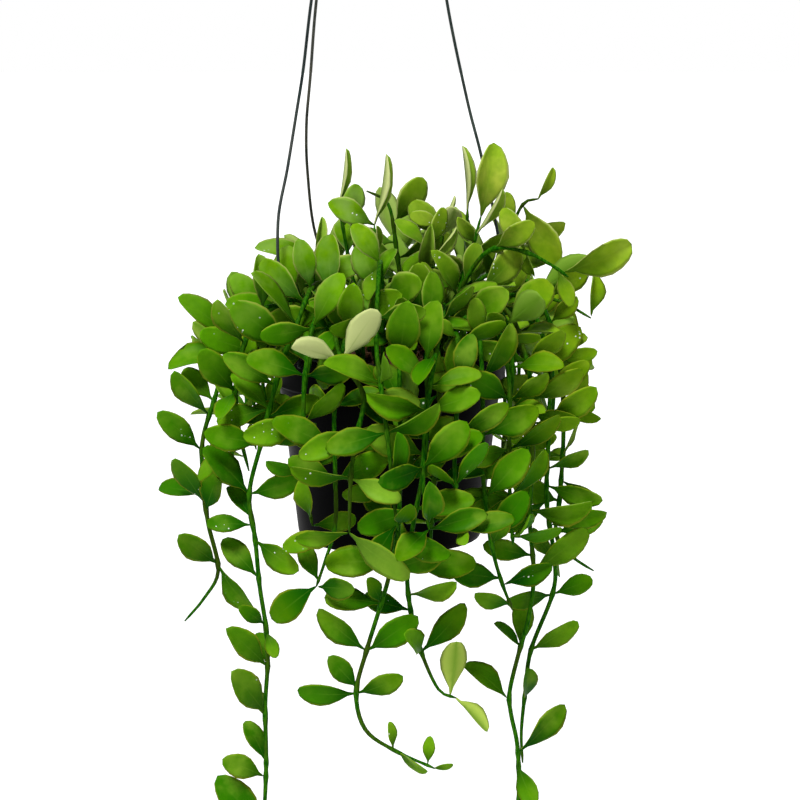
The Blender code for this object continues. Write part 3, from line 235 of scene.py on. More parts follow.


# A listed leaf: height of its node on the stem, angle in front view (0 points right, 90 up), length,
# lean to the front, turn about its length.
HAND_VINES = [
    shoot("shoot_crown_left", (-16, 0), [(-18, 0, 20), (-24, 1, 50), (-30, 0, 84)], [
        (83, 80, 36, 10, 74), (72, 76, 29, -22, 21), (54, 100, 28, -30, 21),
    ]),
    shoot("shoot_crown_spike", (-4, -12), [(-6, -13, 20), (-8, -13, 45), (-9, -13, 74)], [
        (73, 75, 43, 0, 78), (73, 148, 31, 15, 21), (56, 104, 28, 36, 78), (56, 200, 32, 10, 10),
    ]),
    shoot("shoot_crown_twig", (6, 14), [(7, 14, 26), (4, 13, 56), (-1, 12, 84), (-14, 12, 92)], [
        (72, 56, 33, 10, 21), (60, 170, 28, -22, 21), (52, 20, 34, 10, 10), (52, 160, 28, 0, 10),
    ]),
    shoot("shoot_crown_fold", (12, -12), [(15, -16, 16), (20, -22, 44), (22, -24, 62)], [
        (44, 93, 42, 36, 62), (50, 60, 30, 15, 65), (60, 130, 26, -10, 10), (61, 30, 28, 10, 10),
    ]),
    shoot("shoot_crown_middle", (24, 4), [(27, 3, 24), (30, 0, 52), (31, -2, 74)], [
        (64, 117, 29, -22, 21), (66, 60, 27, 36, 175), (73, 65, 19, 0, 78), (72, 160, 20, 0, 20),
        (59, 160, 30, -32, 21), (48, 165, 26, -15, 21),
    ]),
    shoot("shoot_crown_right", (36, 18), [(40, 14, 26), (45, 6, 56), (46, 2, 82)], [
        (79, 90, 40, 0, 70), (60, 150, 28, 10, 10),
    ]),
    shoot("shoot_crown_broad", (34, -8), [(40, -12, 30), (48, -20, 60), (53, -23, 80)], [
        (79, 78, 44, 0, 21), (69, 64, 38, 34, 72), (63, 94, 26, 10, 15), (60, 15, 28, 15, 40),
        (40, 170, 28, 10, 10),
    ]),
    shoot("shoot_far_right", (48, 30), [(58, 26, 30), (70, 18, 62), (79, 10, 84), (88, 4, 88)], [
        (66, 95, 25, 10, 10), (62, 12, 37, -5, 10), (84, 300, 41, 15, 21), (88, 60, 21, 0, 20),
    ]),
    shoot("trail_left_outer", (-34, -4), [
        (-46, -8, 26), (-68, -22, 36), (-84, -36, 25), (-92, -45, 8), (-100, -51, -20), (-108, -54, -48),
        (-107, -56, -78), (-105, -56, -96), (-100, -53, -124), (-109, -48, -142), (-121, -44, -157),
    ], [
        (32, 150, 22, 10, 10), (12, 139, 40, 15, 50), (6, 186, 36, 20, 40), (-25, 132, 27, -15, 21),
        (-31, 130, 34, 25, 5), (-51, 136, 34, 20, 20), (-78, 172, 30, -20, 50), (-82, 120, 35, 25, 10),
        (-88, 75, 32, 32, 10), (-120, 129, 36, 36, 21), (-121, 302, 33, 15, 21),
    ], 0.5),
    shoot("trail_left_inner", (-24, -24), [
        (-34, -42, 38), (-43, -60, 44), (-52, -77, 24), (-60, -84, 4), (-67, -88, -22), (-72, -88, -42),
        (-79, -86, -71), (-76, -85, -98), (-74, -83, -125), (-71, -80, -149), (-70, -79, -170),
        (-72, -76, -199), (-72, -73, -234), (-74, -70, -270), (-77, -68, -298),
    ], [
        (42, 102, 29, 10, 0), (35, 138, 34, 0, 10), (22, 122, 41, 15, 55), (14, 143, 41, 25, 5),
        (10, 205, 25, 12, 21), (-9, 140, 36, 15, 21), (-6, 60, 30, -15, 10), (-22, 195, 32, -12, 21),
        (-24, 120, 30, 5, 21), (-26, 20, 30, 10, 10), (-42, 163, 34, 25, 35), (-42, 20, 34, 15, 20),
        (-71, 127, 38, 15, 0), (-71, 17, 30, 10, 21), (-86, 125, 24, -20, 21), (-88, 165, 26, -10, 20),
        (-98, 330, 32, 30, 0), (-120, 134, 30, -12, 21), (-148, 134, 22, 40, 0), (-152, 300, 17, 25, 20),
        (-174, 127, 38, 28, 21), (-175, 104, 24, -38, 21), (-204, 116, 42, 30, 21),
        (-206, 112, 18, -30, 20), (-234, 116, 27, -20, 25), (-241, 152, 29, 25, 21),
        (-277, 124, 44, 14, 21), (-286, 50, 28, -30, 25), (-294, 150, 17, 20, 20),
        (-295, 35, 14, -10, 20),
    ], 0.5),
    shoot("vine_left_face", (-42, -20), [
        (-54, -34, 22), (-70, -54, 31), (-82, -68, 12), (-87, -76, -14), (-88, -80, -40), (-90, -76, -60),
    ], [
        (29, 92, 32, 5, 10), (12, 121, 32, 25, 0), (-2, 70, 30, -20, 10), (-16, 121, 38, 30, 0),
        (-16, 240, 34, 35, 20), (-28, 100, 30, -22, 10), (-32, 20, 30, 5, 10), (-46, 215, 26, 10, 30),
        (-44, 60, 32, 40, 10), (-60, 112, 28, 38, 20),
    ], 0.5),
    shoot("vine_short_left", (-8, -34), [
        (-14, -56, 24), (-24, -84, 18), (-30, -99, -14), (-30, -104, -50), (-30, -104, -84),
        (-36, -102, -106), (-41, -100, -121),
    ], [
        (-60, 150, 30, 20, 10), (-60, 30, 34, 20, 10), (-88, 200, 30, 0, 30), (-120, 217, 34, 0, 15),
        (-121, 4, 27, 40, 20), (-119, 106, 26, 15, 10),
    ], 0.5),
    shoot("trail_centre_left", (4, -42), [
        (4, -62, 18), (5, -88, 14), (6, -101, -12), (6, -104, -50), (5, -104, -87), (0, -102, -114),
        (-6, -98, -136), (-13, -95, -160), (-19, -92, -186), (-14, -90, -208), (2, -88, -221),
        (26, -86, -233),
    ], [
        (-60, 165, 36, 20, 10), (-60, 20, 34, 25, 10), (-90, 120, 34, -10, 20), (-90, 340, 34, 20, 10),
        (-104, 176, 38, 5, 10), (-112, 25, 34, 20, 10), (-130, 175, 32, 0, 45), (-130, 108, 22, 32, 10),
        (-160, 141, 36, 5, 15), (-160, 38, 38, 20, 10), (-184, 125, 27, 15, 15), (-187, 26, 30, 20, 10),
        (-188, 178, 34, 0, 20), (-221, 92, 17, 10, 20), (-222, 333, 23, 38, 21), (-231, 86, 17, 0, 20),
        (-232, 9, 13, 20, 20),
    ], 0.5),
    shoot("trail_centre", (14, -38), [
        (16, -58, 24), (20, -88, 22), (21, -106, -2), (20, -110, -44), (13, -106, -86), (10, -100, -112),
        (12, -96, -136), (18, -93, -161), (28, -91, -184), (38, -88, -190),
    ], [
        (8, 78, 33, 15, 5), (-4, 136, 31, 15, 5), (-18, 20, 32, 20, 10), (-44, 150, 36, 25, 10),
        (-44, 30, 36, 25, 10), (-76, 20, 34, 25, 0), (-76, 200, 34, 0, 20), (-108, 8, 38, 22, 10),
        (-112, 110, 34, -15, 20), (-128, 38, 33, 25, 0), (-136, 170, 30, -20, 10), (-163, 47, 37, 0, 15),
        (-162, 104, 33, 36, 30), (-189, 88, 35, 5, 190), (-190, 319, 27, 10, 230),
    ], 0.5),
    shoot("vine_front_pale", (-16, -46), [
        (-22, -66, 16), (-30, -88, 24), (-26, -104, 8), (-14, -111, -10), (-18, -116, -33),
        (-21, -118, -55), (-22, -117, -86),
    ], [
        (9, 159, 31, 25, 165), (8, 58, 37, 10, 185), (-10, 353, 37, 10, 40), (-30, 200, 34, 20, 10),
        (-55, 341, 31, 25, 0), (-55, 170, 34, 15, 10), (-84, 319, 42, 25, 0), (-86, 192, 30, 0, 10),
    ], 0.5),
    shoot("vine_front_middle", (22, -30), [
        (30, -52, 30), (30, -82, 30), (25, -104, 8), (21, -114, -14), (19, -119, -39), (19, -120, -62),
        (22, -118, -84),
    ], [
        (28, 46, 27, 20, 5), (10, 140, 36, 20, 0), (-5, 55, 31, 10, 0), (-20, 160, 36, 20, 10),
        (-50, 50, 37, 20, 10), (-50, 190, 35, 20, 10), (-82, 90, 37, 20, 5), (-83, 33, 33, 20, 0),
        (-83, 220, 30, 25, 10),
    ], 0.5),
    shoot("vine_front_right", (32, -34), [
        (42, -54, 24), (50, -78, 18), (52, -90, -10), (52, -94, -40), (53, -96, -66), (56, -98, -88),
        (59, -96, -105), (64, -93, -122), (70, -88, -138),
    ], [
        (14, 96, 27, 15, 30), (-6, 63, 37, 15, 0), (-8, 170, 32, 20, 10), (-36, 30, 36, 20, 10),
        (-36, 170, 36, 20, 0), (-70, 50, 36, 20, 0), (-70, 190, 34, 20, 20), (-92, 60, 32, 10, 10),
        (-98, 84, 25, 38, 10), (-119, 166, 29, 15, 10), (-120, 20, 30, 10, 10), (-136, 152, 26, 32, 10),
    ], 0.5),
    shoot("vine_front_left", (-28, -38), [
        (-36, -62, 28), (-42, -84, 26), (-47, -97, -6), (-47, -101, -36), (-46, -102, -64),
        (-43, -100, -86),
    ], [
        (24, 63, 35, 15, 5), (24, 190, 30, 20, 10), (0, 20, 34, 20, 10), (0, 160, 34, 20, 10),
        (-28, 45, 34, 20, 10), (-28, 190, 34, 20, 10), (-56, 70, 32, 15, 10), (-56, 160, 24, 20, 10),
        (-82, 110, 30, 20, 10), (-84, 20, 30, 20, 10),
    ], 0.4, 23),
    shoot("vine_front_centre", (-4, -52), [
        (-4, -59, 38), (-5, -68, 58), (-6, -84, 50), (-7, -103, 18), (-4, -114, -8), (0, -122, -38),
        (3, -122, -70), (5, -120, -84),
    ], [
        (56, 245, 20, 20, 0), (56, 120, 28, 5, 20), (30, 20, 30, 20, 10), (30, 190, 28, 25, 20),
        (-4, 150, 34, 20, 10), (-4, 20, 32, 20, 10), (-30, 190, 34, 15, 10), (-30, 30, 34, 20, 10),
        (-56, 60, 32, 15, 10), (-56, 160, 34, 15, 10), (-80, 100, 30, 20, 10), (-80, 220, 30, 20, 10),
    ], 0.4, 23),
    shoot("vine_front_inner", (24, -46), [
        (32, -64, 18), (38, -88, 18), (38, -106, -8), (36, -112, -38), (37, -113, -68), (39, -112, -90),
    ], [
        (18, 141, 18, 20, 20), (16, 20, 30, 20, 10), (-6, 70, 34, 15, 10), (-6, 160, 32, 20, 10),
        (-32, 200, 34, 20, 10), (-32, 30, 34, 20, 10), (-60, 60, 34, 15, 10), (-60, 150, 34, 20, 10),
        (-86, 110, 30, 20, 10), (-86, 20, 32, 20, 10),
    ], 0.4, 23),
    shoot("vine_right_face", (40, -40), [
        (52, -56, 18), (62, -76, 18), (67, -87, -8), (67, -90, -40), (68, -90, -76), (70, -88, -100),
    ], [
        (17, 0, 23, 20, 60), (17, 150, 28, 20, 10), (-16, 31, 26, 20, 0), (-16, 170, 34, 20, 0),
        (-44, 30, 34, 15, 0), (-44, 190, 32, 20, 10), (-72, 50, 34, 15, 10), (-72, 170, 34, 20, 10),
        (-96, 110, 28, 20, 10), (-96, 10, 30, 20, 10),
    ], 0.4, 23),
    shoot("trail_right_front", (40, -22), [
        (50, -36, 32), (68, -56, 28), (78, -68, 2), (81, -74, -28), (81, -75, -58), (80, -74, -88),
        (83, -70, -123), (80, -68, -150), (75, -66, -170), (70, -64, -194), (71, -62, -208),
        (75, -62, -228), (76, -62, -258), (74, -60, -282), (73, -60, -302),
    ], [
        (25, 190, 30, 20, 10), (0, 45, 29, 15, 0), (0, 170, 32, 20, 10), (-20, 30, 34, 20, 10),
        (-34, 6, 27, 15, 20), (-48, 200, 34, 20, 10), (-88, 150, 34, 10, 10), (-85, 9, 37, 25, 21),
        (-112, 160, 30, 20, 10), (-121, 40, 40, 10, 5), (-167, 128, 22, 10, 20), (-168, 84, 32, -30, 21),
        (-197, 139, 32, 0, 20), (-231, 42, 38, 5, 21), (-239, 292, 26, 32, 21), (-264, 215, 30, 10, 10),
        (-290, 60, 24, 10, 10), (-300, 140, 16, 10, 10), (-300, 20, 14, 0, 20),
    ], 0.5),
    shoot("trail_right_back", (46, -6), [
        (58, -12, 30), (80, -26, 30), (92, -40, -2), (92, -50, -40), (91, -54, -82), (96, -55, -117),
        (95, -54, -138), (83, -52, -172), (80, -50, -198), (78, -48, -224), (79, -48, -243),
    ], [
        (27, 200, 28, 15, 10), (4, 22, 25, 15, 0), (-20, 42, 29, 20, 10), (-20, 150, 34, 25, 10),
        (-38, 41, 36, 25, 21), (-63, 27, 27, 20, 10), (-72, 342, 33, 22, 21), (-94, 10, 34, 20, 0),
        (-82, 210, 32, 25, 20), (-117, 128, 25, 20, 10), (-138, 180, 32, 34, 10), (-136, 10, 26, -20, 20),
        (-174, 46, 34, 10, 21), (-204, 80, 28, 40, 72),
    ], 0.5),
    shoot("vine_right_side", (36, 6), [
        (52, 6, 38), (78, -2, 42), (93, -14, 20), (101, -24, -14), (102, -30, -51), (100, -32, -87),
        (98, -33, -106), (104, -33, -117), (112, -32, -124), (121, -30, -130),
    ], [
        (18, 30, 22, 10, 10), (-7, 22, 23, 15, 0), (-10, 325, 25, 25, 10), (-28, 330, 24, 15, 21),
        (-32, 48, 27, 20, 0), (-60, 75, 28, 10, 20), (-60, 170, 34, 30, 10), (-76, 338, 25, 15, 20),
        (-90, 150, 32, 20, 10), (-108, 275, 26, 0, 60), (-106, 20, 29, 20, 5),
    ], 0.5),
    shoot("sprig_upper_right", (30, -14), [
        (38, -28, 28), (48, -40, 52), (60, -47, 64), (78, -51, 62), (92, -52, 55), (102, -52, 48),
    ], [
        (42, 93, 26, 15, 5), (62, 120, 28, 0, 10), (64, 20, 29, 15, 21), (61, 318, 20, 0, 21),
        (52, 290, 22, 30, 21), (50, 22, 42, 0, 28),
    ], 0.7),
    shoot("sprig_right", (44, 16), [
        (58, 13, 30), (74, 4, 36), (90, -5, 31), (103, -14, 28), (118, -20, 20),
    ], [
        (38, 80, 26, -10, 10), (32, 225, 22, 10, 10), (30, 42, 30, 15, 0),
    ], 0.7),
    shoot("shoot_upper_left", (-38, 10), [(-42, 6, 14), (-46, 0, 38), (-44, -4, 52)], [
        (38, 98, 32, 0, 10), (38, 190, 34, 15, 10), (50, 80, 28, 0, 65), (51, 157, 36, 10, 21),
        (43, 125, 30, -32, 21),
    ]),
]

# A vine in the low ring: its bearing, its sway, and how high its tip is. In the high ring: its bearing, its
# sway, and how high it arches.
LOW_RING = [(-174, 0, -74), (-146, 8, -46), (-116, -4, -60), (-68, -6, -101), (-34, 4, -74),
            (-6, 8, -83), (16, 6, -92), (46, -6, -101), (76, 5, -74), (106, -5, -83), (136, 6, -56),
            (162, -6, -70)]
HIGH_RING = [(-147, -4, 33), (-44, -4, 42), (37, -5, 35), (62, 6, 48), (90, -6, 56), (126, 5, 42),
             (151, -5, 28)]


def ruled_vines():
    """Two rings of vines all round the pot: short ones by the rim, and taller ones that arch over them."""
    rows = []
    for index, (bearing, sway, end) in enumerate(LOW_RING):
        lift = 3 * (index % 3)
        rows.append(arch("vine_low_%02d" % (index + 1), bearing, root=52, crest=70, height=17 + lift,
                         reach=92 + lift, end=end, sway=sway))
    for index, (bearing, sway, height) in enumerate(HIGH_RING):
        rows.append(arch("vine_high_%02d" % (index + 1), bearing, root=33, crest=66, height=height,
                         reach=60 + height, end=-40 - 12 * (index % 3), sway=sway))
    return rows


def vine_rows():
    """Every vine: name, route, root, listed leaves, rise of its other leaves, gap between nodes."""
    return HAND_VINES + ruled_vines()


def vine_route(route, root):
    """A vine's whole route, with the short upright stretch that leaves the mix."""
    x, y, z = root
    start = z + GAP / MM
    return [(x, y, start), (x, y, start + ROOT_RISE)] + list(route)


# ---------------- leaves: how they lie

class Leaf:
    """A leaf: its seat on the stem, its three axes, its length and how it curves."""

    def __init__(self, seat, along, face, length, width, bend, cup):
        self.along = along.normalized()
        self.across = self.along.cross(face).normalized()
        self.face = self.across.cross(self.along).normalized()
        self.seat = seat + self.along * LEAF_START
        self.length = length
        self.width = width * length
        self.bend = bend
        self.cup = cup

    def tip(self):
        """Where the leaf ends: at its length along it, less what it bends back."""
        return self.seat + (self.along - self.face * self.bend) * self.length


def shake(rng, size):
    """A small random vector."""
    return Vector((rng.uniform(-size, size), rng.uniform(-size, size), rng.uniform(-size, size)))


def hand_leaf(rng, seat, spec, attempt):
    """A listed leaf; later tries loosen its direction and shorten it."""
    _, clock, length, lean, turn = spec
    if abs(turn) <= LOOSE_TURN:
        turn += rng.uniform(-TURN_CHANCE, TURN_CHANCE)
    loose = HAND_LOOSENING * attempt
    clock, lean, turn = (math.radians(value) for value in (clock, lean, turn))
    along = math.cos(lean) * (math.cos(clock) * RIGHT + math.sin(clock) * UP) + math.sin(lean) * FRONT
    along = (along + shake(rng, loose)).normalized()
    level = along.cross(FRONT)
    face = level.cross(along).normalized() + shake(rng, 0.15 + loose)
    face.rotate(Quaternion(along, turn))
    shrink = 1 - HAND_SHRINK * max(0, attempt - TIDY_TRIES)
    return Leaf(seat, along, face, length * MM * shrink, rng.uniform(*LEAF_SIDES),
                rng.uniform(0.02, 0.12), rng.uniform(*LEAF_CUPS))


def grown_leaf(rng, seat, stem_way, side, turn, size, rise, attempt):
    """A leaf that grew by rule: out to its side of the stem, up to the light and away from the pot."""
    loose = 0.22 + RULED_LOOSENING * attempt
    outward = Vector((seat.x, seat.y, 0.0)).normalized()
    sideways = stem_way.cross(outward)
    if sideways.length < 0.1:
        sideways = stem_way.orthogonal()
    sideways.normalize()
    sideways.rotate(Quaternion(stem_way, turn))
    along = (0.8 * side * sideways + rise * UP + 0.4 * outward + shake(rng, loose)).normalized()
    face = 0.75 * outward + 0.5 * UP + shake(rng, 0.3 + 0.5 * loose)
    shrink = 1 - RULED_SHRINK * max(0, attempt - TIDY_TRIES)
    return Leaf(seat, along, face, size * MM * shrink, rng.uniform(*LEAF_SIDES),
                rng.uniform(0.00, 0.16), rng.uniform(*LEAF_CUPS))


class Stem:
    """A vine's stem: its points, and places along it by distance or height."""

    def __init__(self, route, root):
        self.points = [spot(*point) for point in smooth_route(vine_route(route, root), STEM_STEP)]
        self.reach = [0.0]
        for start, end in zip(self.points, self.points[1:]):
            self.reach.append(self.reach[-1] + (end - start).length)

    def at(self, distance):
        """Place and direction at a distance along the stem."""
        for index, end in enumerate(self.reach[1:]):
            if distance <= end or index == len(self.reach) - 2:
                break
        start, stop = self.points[index], self.points[index + 1]
        part = (distance - self.reach[index]) / (self.reach[index + 1] - self.reach[index])
        return start.lerp(stop, part), (stop - start).normalized()

    def at_height(self, height):
        """Distance along the stem where it passes a height for the last time."""
        level = height * MM - RIM_DROP
        last = self.reach[-1] - STEM_END
        for index in range(len(self.points) - 2, -1, -1):
            start, stop = self.points[index].z, self.points[index + 1].z
            if min(start, stop) <= level <= max(start, stop):
                part = (level - start) / (stop - start) if stop != start else 0.5
                return min(self.reach[index] + part * (self.reach[index + 1] - self.reach[index]), last)
        return last


def leaf_plans(row):
    """Each leaf of a vine as its label, its seat and what its tries start from."""
    name, route, root, leaves, rise, gap = row
    stem = Stem(route, root)
    plans = []
    first = stem.reach[-1] - 0.002
    for number, spec in enumerate(leaves):
        distance = stem.at_height(spec[0])
        first = min(first, distance - HAND_CLEAR)
        plans.append(("%s hand %d" % (name, number), stem.at(distance)[0], spec))
    distance = FIRST_NODE
    number = 0
    while distance < first:
        seat, way = stem.at(distance)
        left = (stem.reach[-1] - distance) / MM
        size = LEAF_LENGTH * min(1.08, 0.45 + left / 90)
        for side in (1, -1):
            turn = math.radians(90 * (number % 2) + 35 * (number % 3))
            plans.append(("%s node %d %d" % (name, number, side), seat, (way, side, turn, size, rise)))
        distance += gap * MM * (0.9 + 0.2 * ((number * 7) % 5) / 4)
        number += 1
    return plans


def leaf_tries(plan):
    """The ways one leaf may lie, the tidiest first."""
    label, seat, spec = plan
    rng = Random(label)
    for attempt in range(LEAF_TRIES):
        if " hand " in label:
            yield hand_leaf(rng, seat, spec, attempt)
        else:
            way, side, turn, size, rise = spec
            yield grown_leaf(rng, seat, way, side, turn, size * rng.uniform(0.88, 1.08), rise, attempt)


# ---------------- modelling

def added(operator, name, **settings):
    """The object that an operator adds, named and with nothing else selected."""
    bpy.ops.object.select_all(action="DESELECT")
    operator(**settings)
    bpy.context.object.name = name
    return bpy.context.object


def twin(thing):
    """A copy of an object, with a mesh of its own."""
    copy = thing.copy()
    copy.data = thing.data.copy()
    bpy.context.collection.objects.link(copy)
    return copy


def select_only(thing):
    """Select one object and make it the active one."""
    bpy.ops.object.select_all(action="DESELECT")
    thing.select_set(True)
    bpy.context.view_layer.objects.active = thing


def tidy_mesh(thing, merge=0.000001):
    """Merge doubles and turn every face outwards."""
    select_only(thing)
    bpy.ops.object.mode_set(mode="EDIT")
    bpy.ops.mesh.select_all(action="SELECT")
    bpy.ops.mesh.remove_doubles(threshold=merge)
    bpy.ops.mesh.normals_make_consistent(inside=False)
    bpy.ops.object.mode_set(mode="OBJECT")


def drawn_up(name, segments, rings, ends):
    """A form drawn up from a circle: each ring gives half-width, half-depth and height.

    Its ends are filled, bridged to each other, or gathered to a point.
    """
    wide, deep, height = rings[0]
    thing = added(bpy.ops.mesh.primitive_circle_add, name, vertices=segments, radius=1.0, location=(0, 0, 0))
    bpy.ops.object.mode_set(mode="EDIT")
    bpy.ops.transform.resize(value=(wide, deep, 1), center_override=(0, 0, 0))
    bpy.ops.transform.translate(value=(0, 0, height))
    for before, after in zip(rings, rings[1:]):
        bpy.ops.mesh.extrude_edges_move(TRANSFORM_OT_translate={"value": (0, 0, after[2] - before[2])})
        bpy.ops.transform.resize(value=(after[0] / before[0], after[1] / before[1], 1),
                                 center_override=(0, 0, after[2]))
    bpy.ops.mesh.select_all(action="DESELECT")
    if ends == "bridged":
        bpy.ops.mesh.select_non_manifold()
        bpy.ops.mesh.bridge_edge_loops()
    elif ends == "filled":
        bpy.ops.mesh.select_all(action="SELECT")
        bpy.ops.mesh.fill_holes(sides=0)
    bpy.ops.object.mode_set(mode="OBJECT")
    if ends == "gathered":
        tidy_mesh(thing, 0.001)
    else:
        tidy_mesh(thing)
    return thing


def apply_modifier(thing, kind, **settings):
    """Add a modifier to an object with its settings, and apply it."""
    select_only(thing)
    bpy.ops.object.modifier_add(type=kind)
    modifier = thing.modifiers[-1]
    for key, value in settings.items():
        setattr(modifier, key, value)
    bpy.ops.object.modifier_apply(modifier=modifier.name)


def shade(thing, degrees):
    """Smooth shading, but for edges sharper than an angle."""
    select_only(thing)
    bpy.ops.object.shade_smooth_by_angle(angle=math.radians(degrees))


def drawn_tube(name, places, radius, sides, shares=None):
    """A round wire or stem: a curve drawn through its places, given its thickness and made a mesh."""
    thing = added(bpy.ops.curve.primitive_bezier_curve_add, name, location=(0, 0, 0))
    curve = thing.data
    curve.splines.clear()
    spline = curve.splines.new("POLY")
    spline.points.add(len(places) - 1)
    for point, place, share in zip(spline.points, places, shares or [1.0] * len(places)):
        point.co = (*place, 1.0)
        point.radius = share
    curve.dimensions = "3D"
    curve.bevel_depth = radius
    curve.bevel_resolution = sides
    curve.use_fill_caps = True
    bpy.ops.object.convert(target="MESH")
    tidy_mesh(thing)
    bpy.ops.object.shade_smooth()
    return thing


def join_all(first, others):
    """Join objects into the first one."""
    select_only(first)
    for other in others:
        other.select_set(True)
    bpy.ops.object.join()
    return first


def stand_for(piece, node, material=None):
    """Finish a piece: its material, its body and the CAD node that it stands for."""
    if material:
        piece.data.materials.append(material)
    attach(piece, "root")
    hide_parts(node)


# ---------------- pot and mix

def wall_radius(height):
    """Outer radius of the pot's plain wall at a height under the rim."""
    return TOP_RADIUS + (BASE_RADIUS - TOP_RADIUS) * (-height - BAND_HEIGHT) / (POT_HEIGHT - BAND_HEIGHT)


def pot_rings():
    """The pot's section: inside floor and wall, flange, band, outside wall, foot ring and recess."""
    floor = -POT_HEIGHT + FOOT_RECESS + POT_WALL
    foot = BASE_RADIUS - FOOT_WIDTH
    slope = 0.0015             # height of the slopes between wall and band
    flare = 0.0004             # how far the band widens to its top
    ledge = -0.0440            # a faint ledge round the wall
    section = [
        (wall_radius(floor) - POT_WALL, floor),
        (TOP_RADIUS - POT_WALL, -BAND_HEIGHT),
        (BAND_RADIUS - POT_WALL, -BAND_HEIGHT + slope),
        (BAND_RADIUS - POT_WALL + flare, 0.0),
        (FLANGE_RADIUS, 0.0),
        (FLANGE_RADIUS, -FLANGE_THICK),
        (BAND_RADIUS + flare, -FLANGE_THICK),
        (BAND_RADIUS, -BAND_HEIGHT),
        (TOP_RADIUS, -BAND_HEIGHT - slope),
        (wall_radius(ledge), ledge),
        (wall_radius(ledge - 0.0006) - 0.0003, ledge - 0.0006),
        (BASE_RADIUS + 0.0005, -POT_HEIGHT + 0.0035),
        (BASE_RADIUS - 0.0006, -POT_HEIGHT),
        (foot, -POT_HEIGHT),
        (foot - 0.0006, -POT_HEIGHT + FOOT_RECESS),
    ]
    return [(radius, radius, height - RIM_DROP) for radius, height in section]


def pot_drills():
    """One joined cutter for the wire holes in the flange and the drain holes in the floor."""
    height = (FOOT_RECESS - POT_HEIGHT) / MM
    places = [(polar(HOLE_RING, bearing, 0), HOLE_RADIUS) for bearing in HOLE_BEARINGS.values()]
    places.append(((0, 0, height), DRAIN_RADIUS))
    for index in range(DRAIN_COUNT):
        places.append((polar(DRAIN_RING / MM, 360 / DRAIN_COUNT * index, height), DRAIN_RADIUS))
    drills = [added(bpy.ops.mesh.primitive_cylinder_add, "drill", vertices=24, radius=radius, depth=0.010,
                    location=spot(*place)) for place, radius in places]
    return join_all(drills[0], drills[1:])


def make_pot(plastic):
    """The pot, with softened edges and its holes."""
    pot = drawn_up("nursery_pot", 96, pot_rings(), "filled")
    apply_modifier(pot, "BEVEL", width=0.0004, segments=2, limit_method="ANGLE", angle_limit=math.radians(38))
    cutter = pot_drills()
    apply_modifier(pot, "BOOLEAN", operation="DIFFERENCE", solver="EXACT", object=cutter)
    bpy.data.objects.remove(cutter, do_unlink=True)
    shade(pot, 30)
    stand_for(pot, "pot", plastic)
    return pot


def mix_rings():
    """The plug of mix, from its foot up its sides and in over its top in narrow rings."""
    floor = -POT_HEIGHT + FOOT_RECESS + POT_WALL + GAP
    inside = POT_WALL + GAP
    edge = BAND_RADIUS - inside
    rings = [(wall_radius(floor) - inside, floor), (TOP_RADIUS - inside, -BAND_HEIGHT + 0.0004),
             (edge, -BAND_HEIGHT + 0.0024), (edge, -MIX_DEPTH - 0.001)]
    for step in range(24):
        rings.append(((edge - 0.0008) * (1 - step / 24) ** 0.9 + 0.0002, -MIX_DEPTH))
    return [(radius, radius, height - RIM_DROP) for radius, height in rings]


def roughen(thing, top, size, depth):
    """Heave the points near a surface's top up and down."""
    for vert in thing.data.vertices:
        if vert.co.z > top:
            vert.co.z += depth * noise.fractal(vert.co * (1 / size), 1.0, 2.0, 3)


def scattered(blank, label, count, reach, sizes, material):
    """Copies of one chip, bent and squeezed by chance, and strewn over the top of the mix."""
    rng = Random(label)
    noise.seed_set(1)
    chips = []
    for _ in range(count):
        chip = twin(blank)
        radius = reach * math.sqrt(rng.random())
        angle = rng.uniform(0, 2 * math.pi)
        size = rng.uniform(*sizes)
        height = -MIX_DEPTH - RIM_DROP + 0.25 * size
        place = Vector((radius * math.cos(angle), radius * math.sin(angle), height))
        turn = Quaternion(shake(rng, 1.0).normalized(), rng.uniform(0, 2 * math.pi))
        squeeze = Vector((size, size * rng.uniform(0.5, 0.9), size * rng.uniform(0.25, 0.6)))
        for vert in chip.data.vertices:
            bent = vert.co + 0.35 * Vector(noise.noise_vector(vert.co * 1.7 + place * 900))
            vert.co = place + turn @ (bent * squeeze)
        chip.data.materials.append(material)
        chips.append(chip)
    return chips


def make_mix(soil, bark, grit):
    """The potting mix: a heaved top of fine coir with bark chips and pale grit on it."""
    bed = drawn_up("mix_bed", 72, mix_rings(), "filled")
    roughen(bed, top=-RIM_DROP - MIX_DEPTH - 0.0003, size=0.006, depth=0.0016)
    bed.data.materials.append(soil)
    chip = added(bpy.ops.mesh.primitive_cube_add, "chip", size=1.0, location=(0, 0, 0))
    bpy.ops.object.mode_set(mode="EDIT")
    bpy.ops.mesh.subdivide(number_cuts=1, smoothness=0.6)
    bpy.ops.object.mode_set(mode="OBJECT")
    pieces = scattered(chip, *BARK, bark) + scattered(chip, *GRIT, grit)
    bpy.data.objects.remove(chip, do_unlink=True)
    join_all(bed, pieces)
    shade(bed, 40)
    stand_for(bed, "potting_mix")


# ---------------- hanger

def make_wires(coats):
    """The three coated wires."""
    wires = []
    for name, coat in coats.items():
        places = [spot(*point) for point in wire_route(name)]
        wires.append(drawn_tube(name.replace("hanger_", "hung_"), places, WIRE_RADIUS, 3))
        stand_for(wires[-1], name, coat)
    return wires


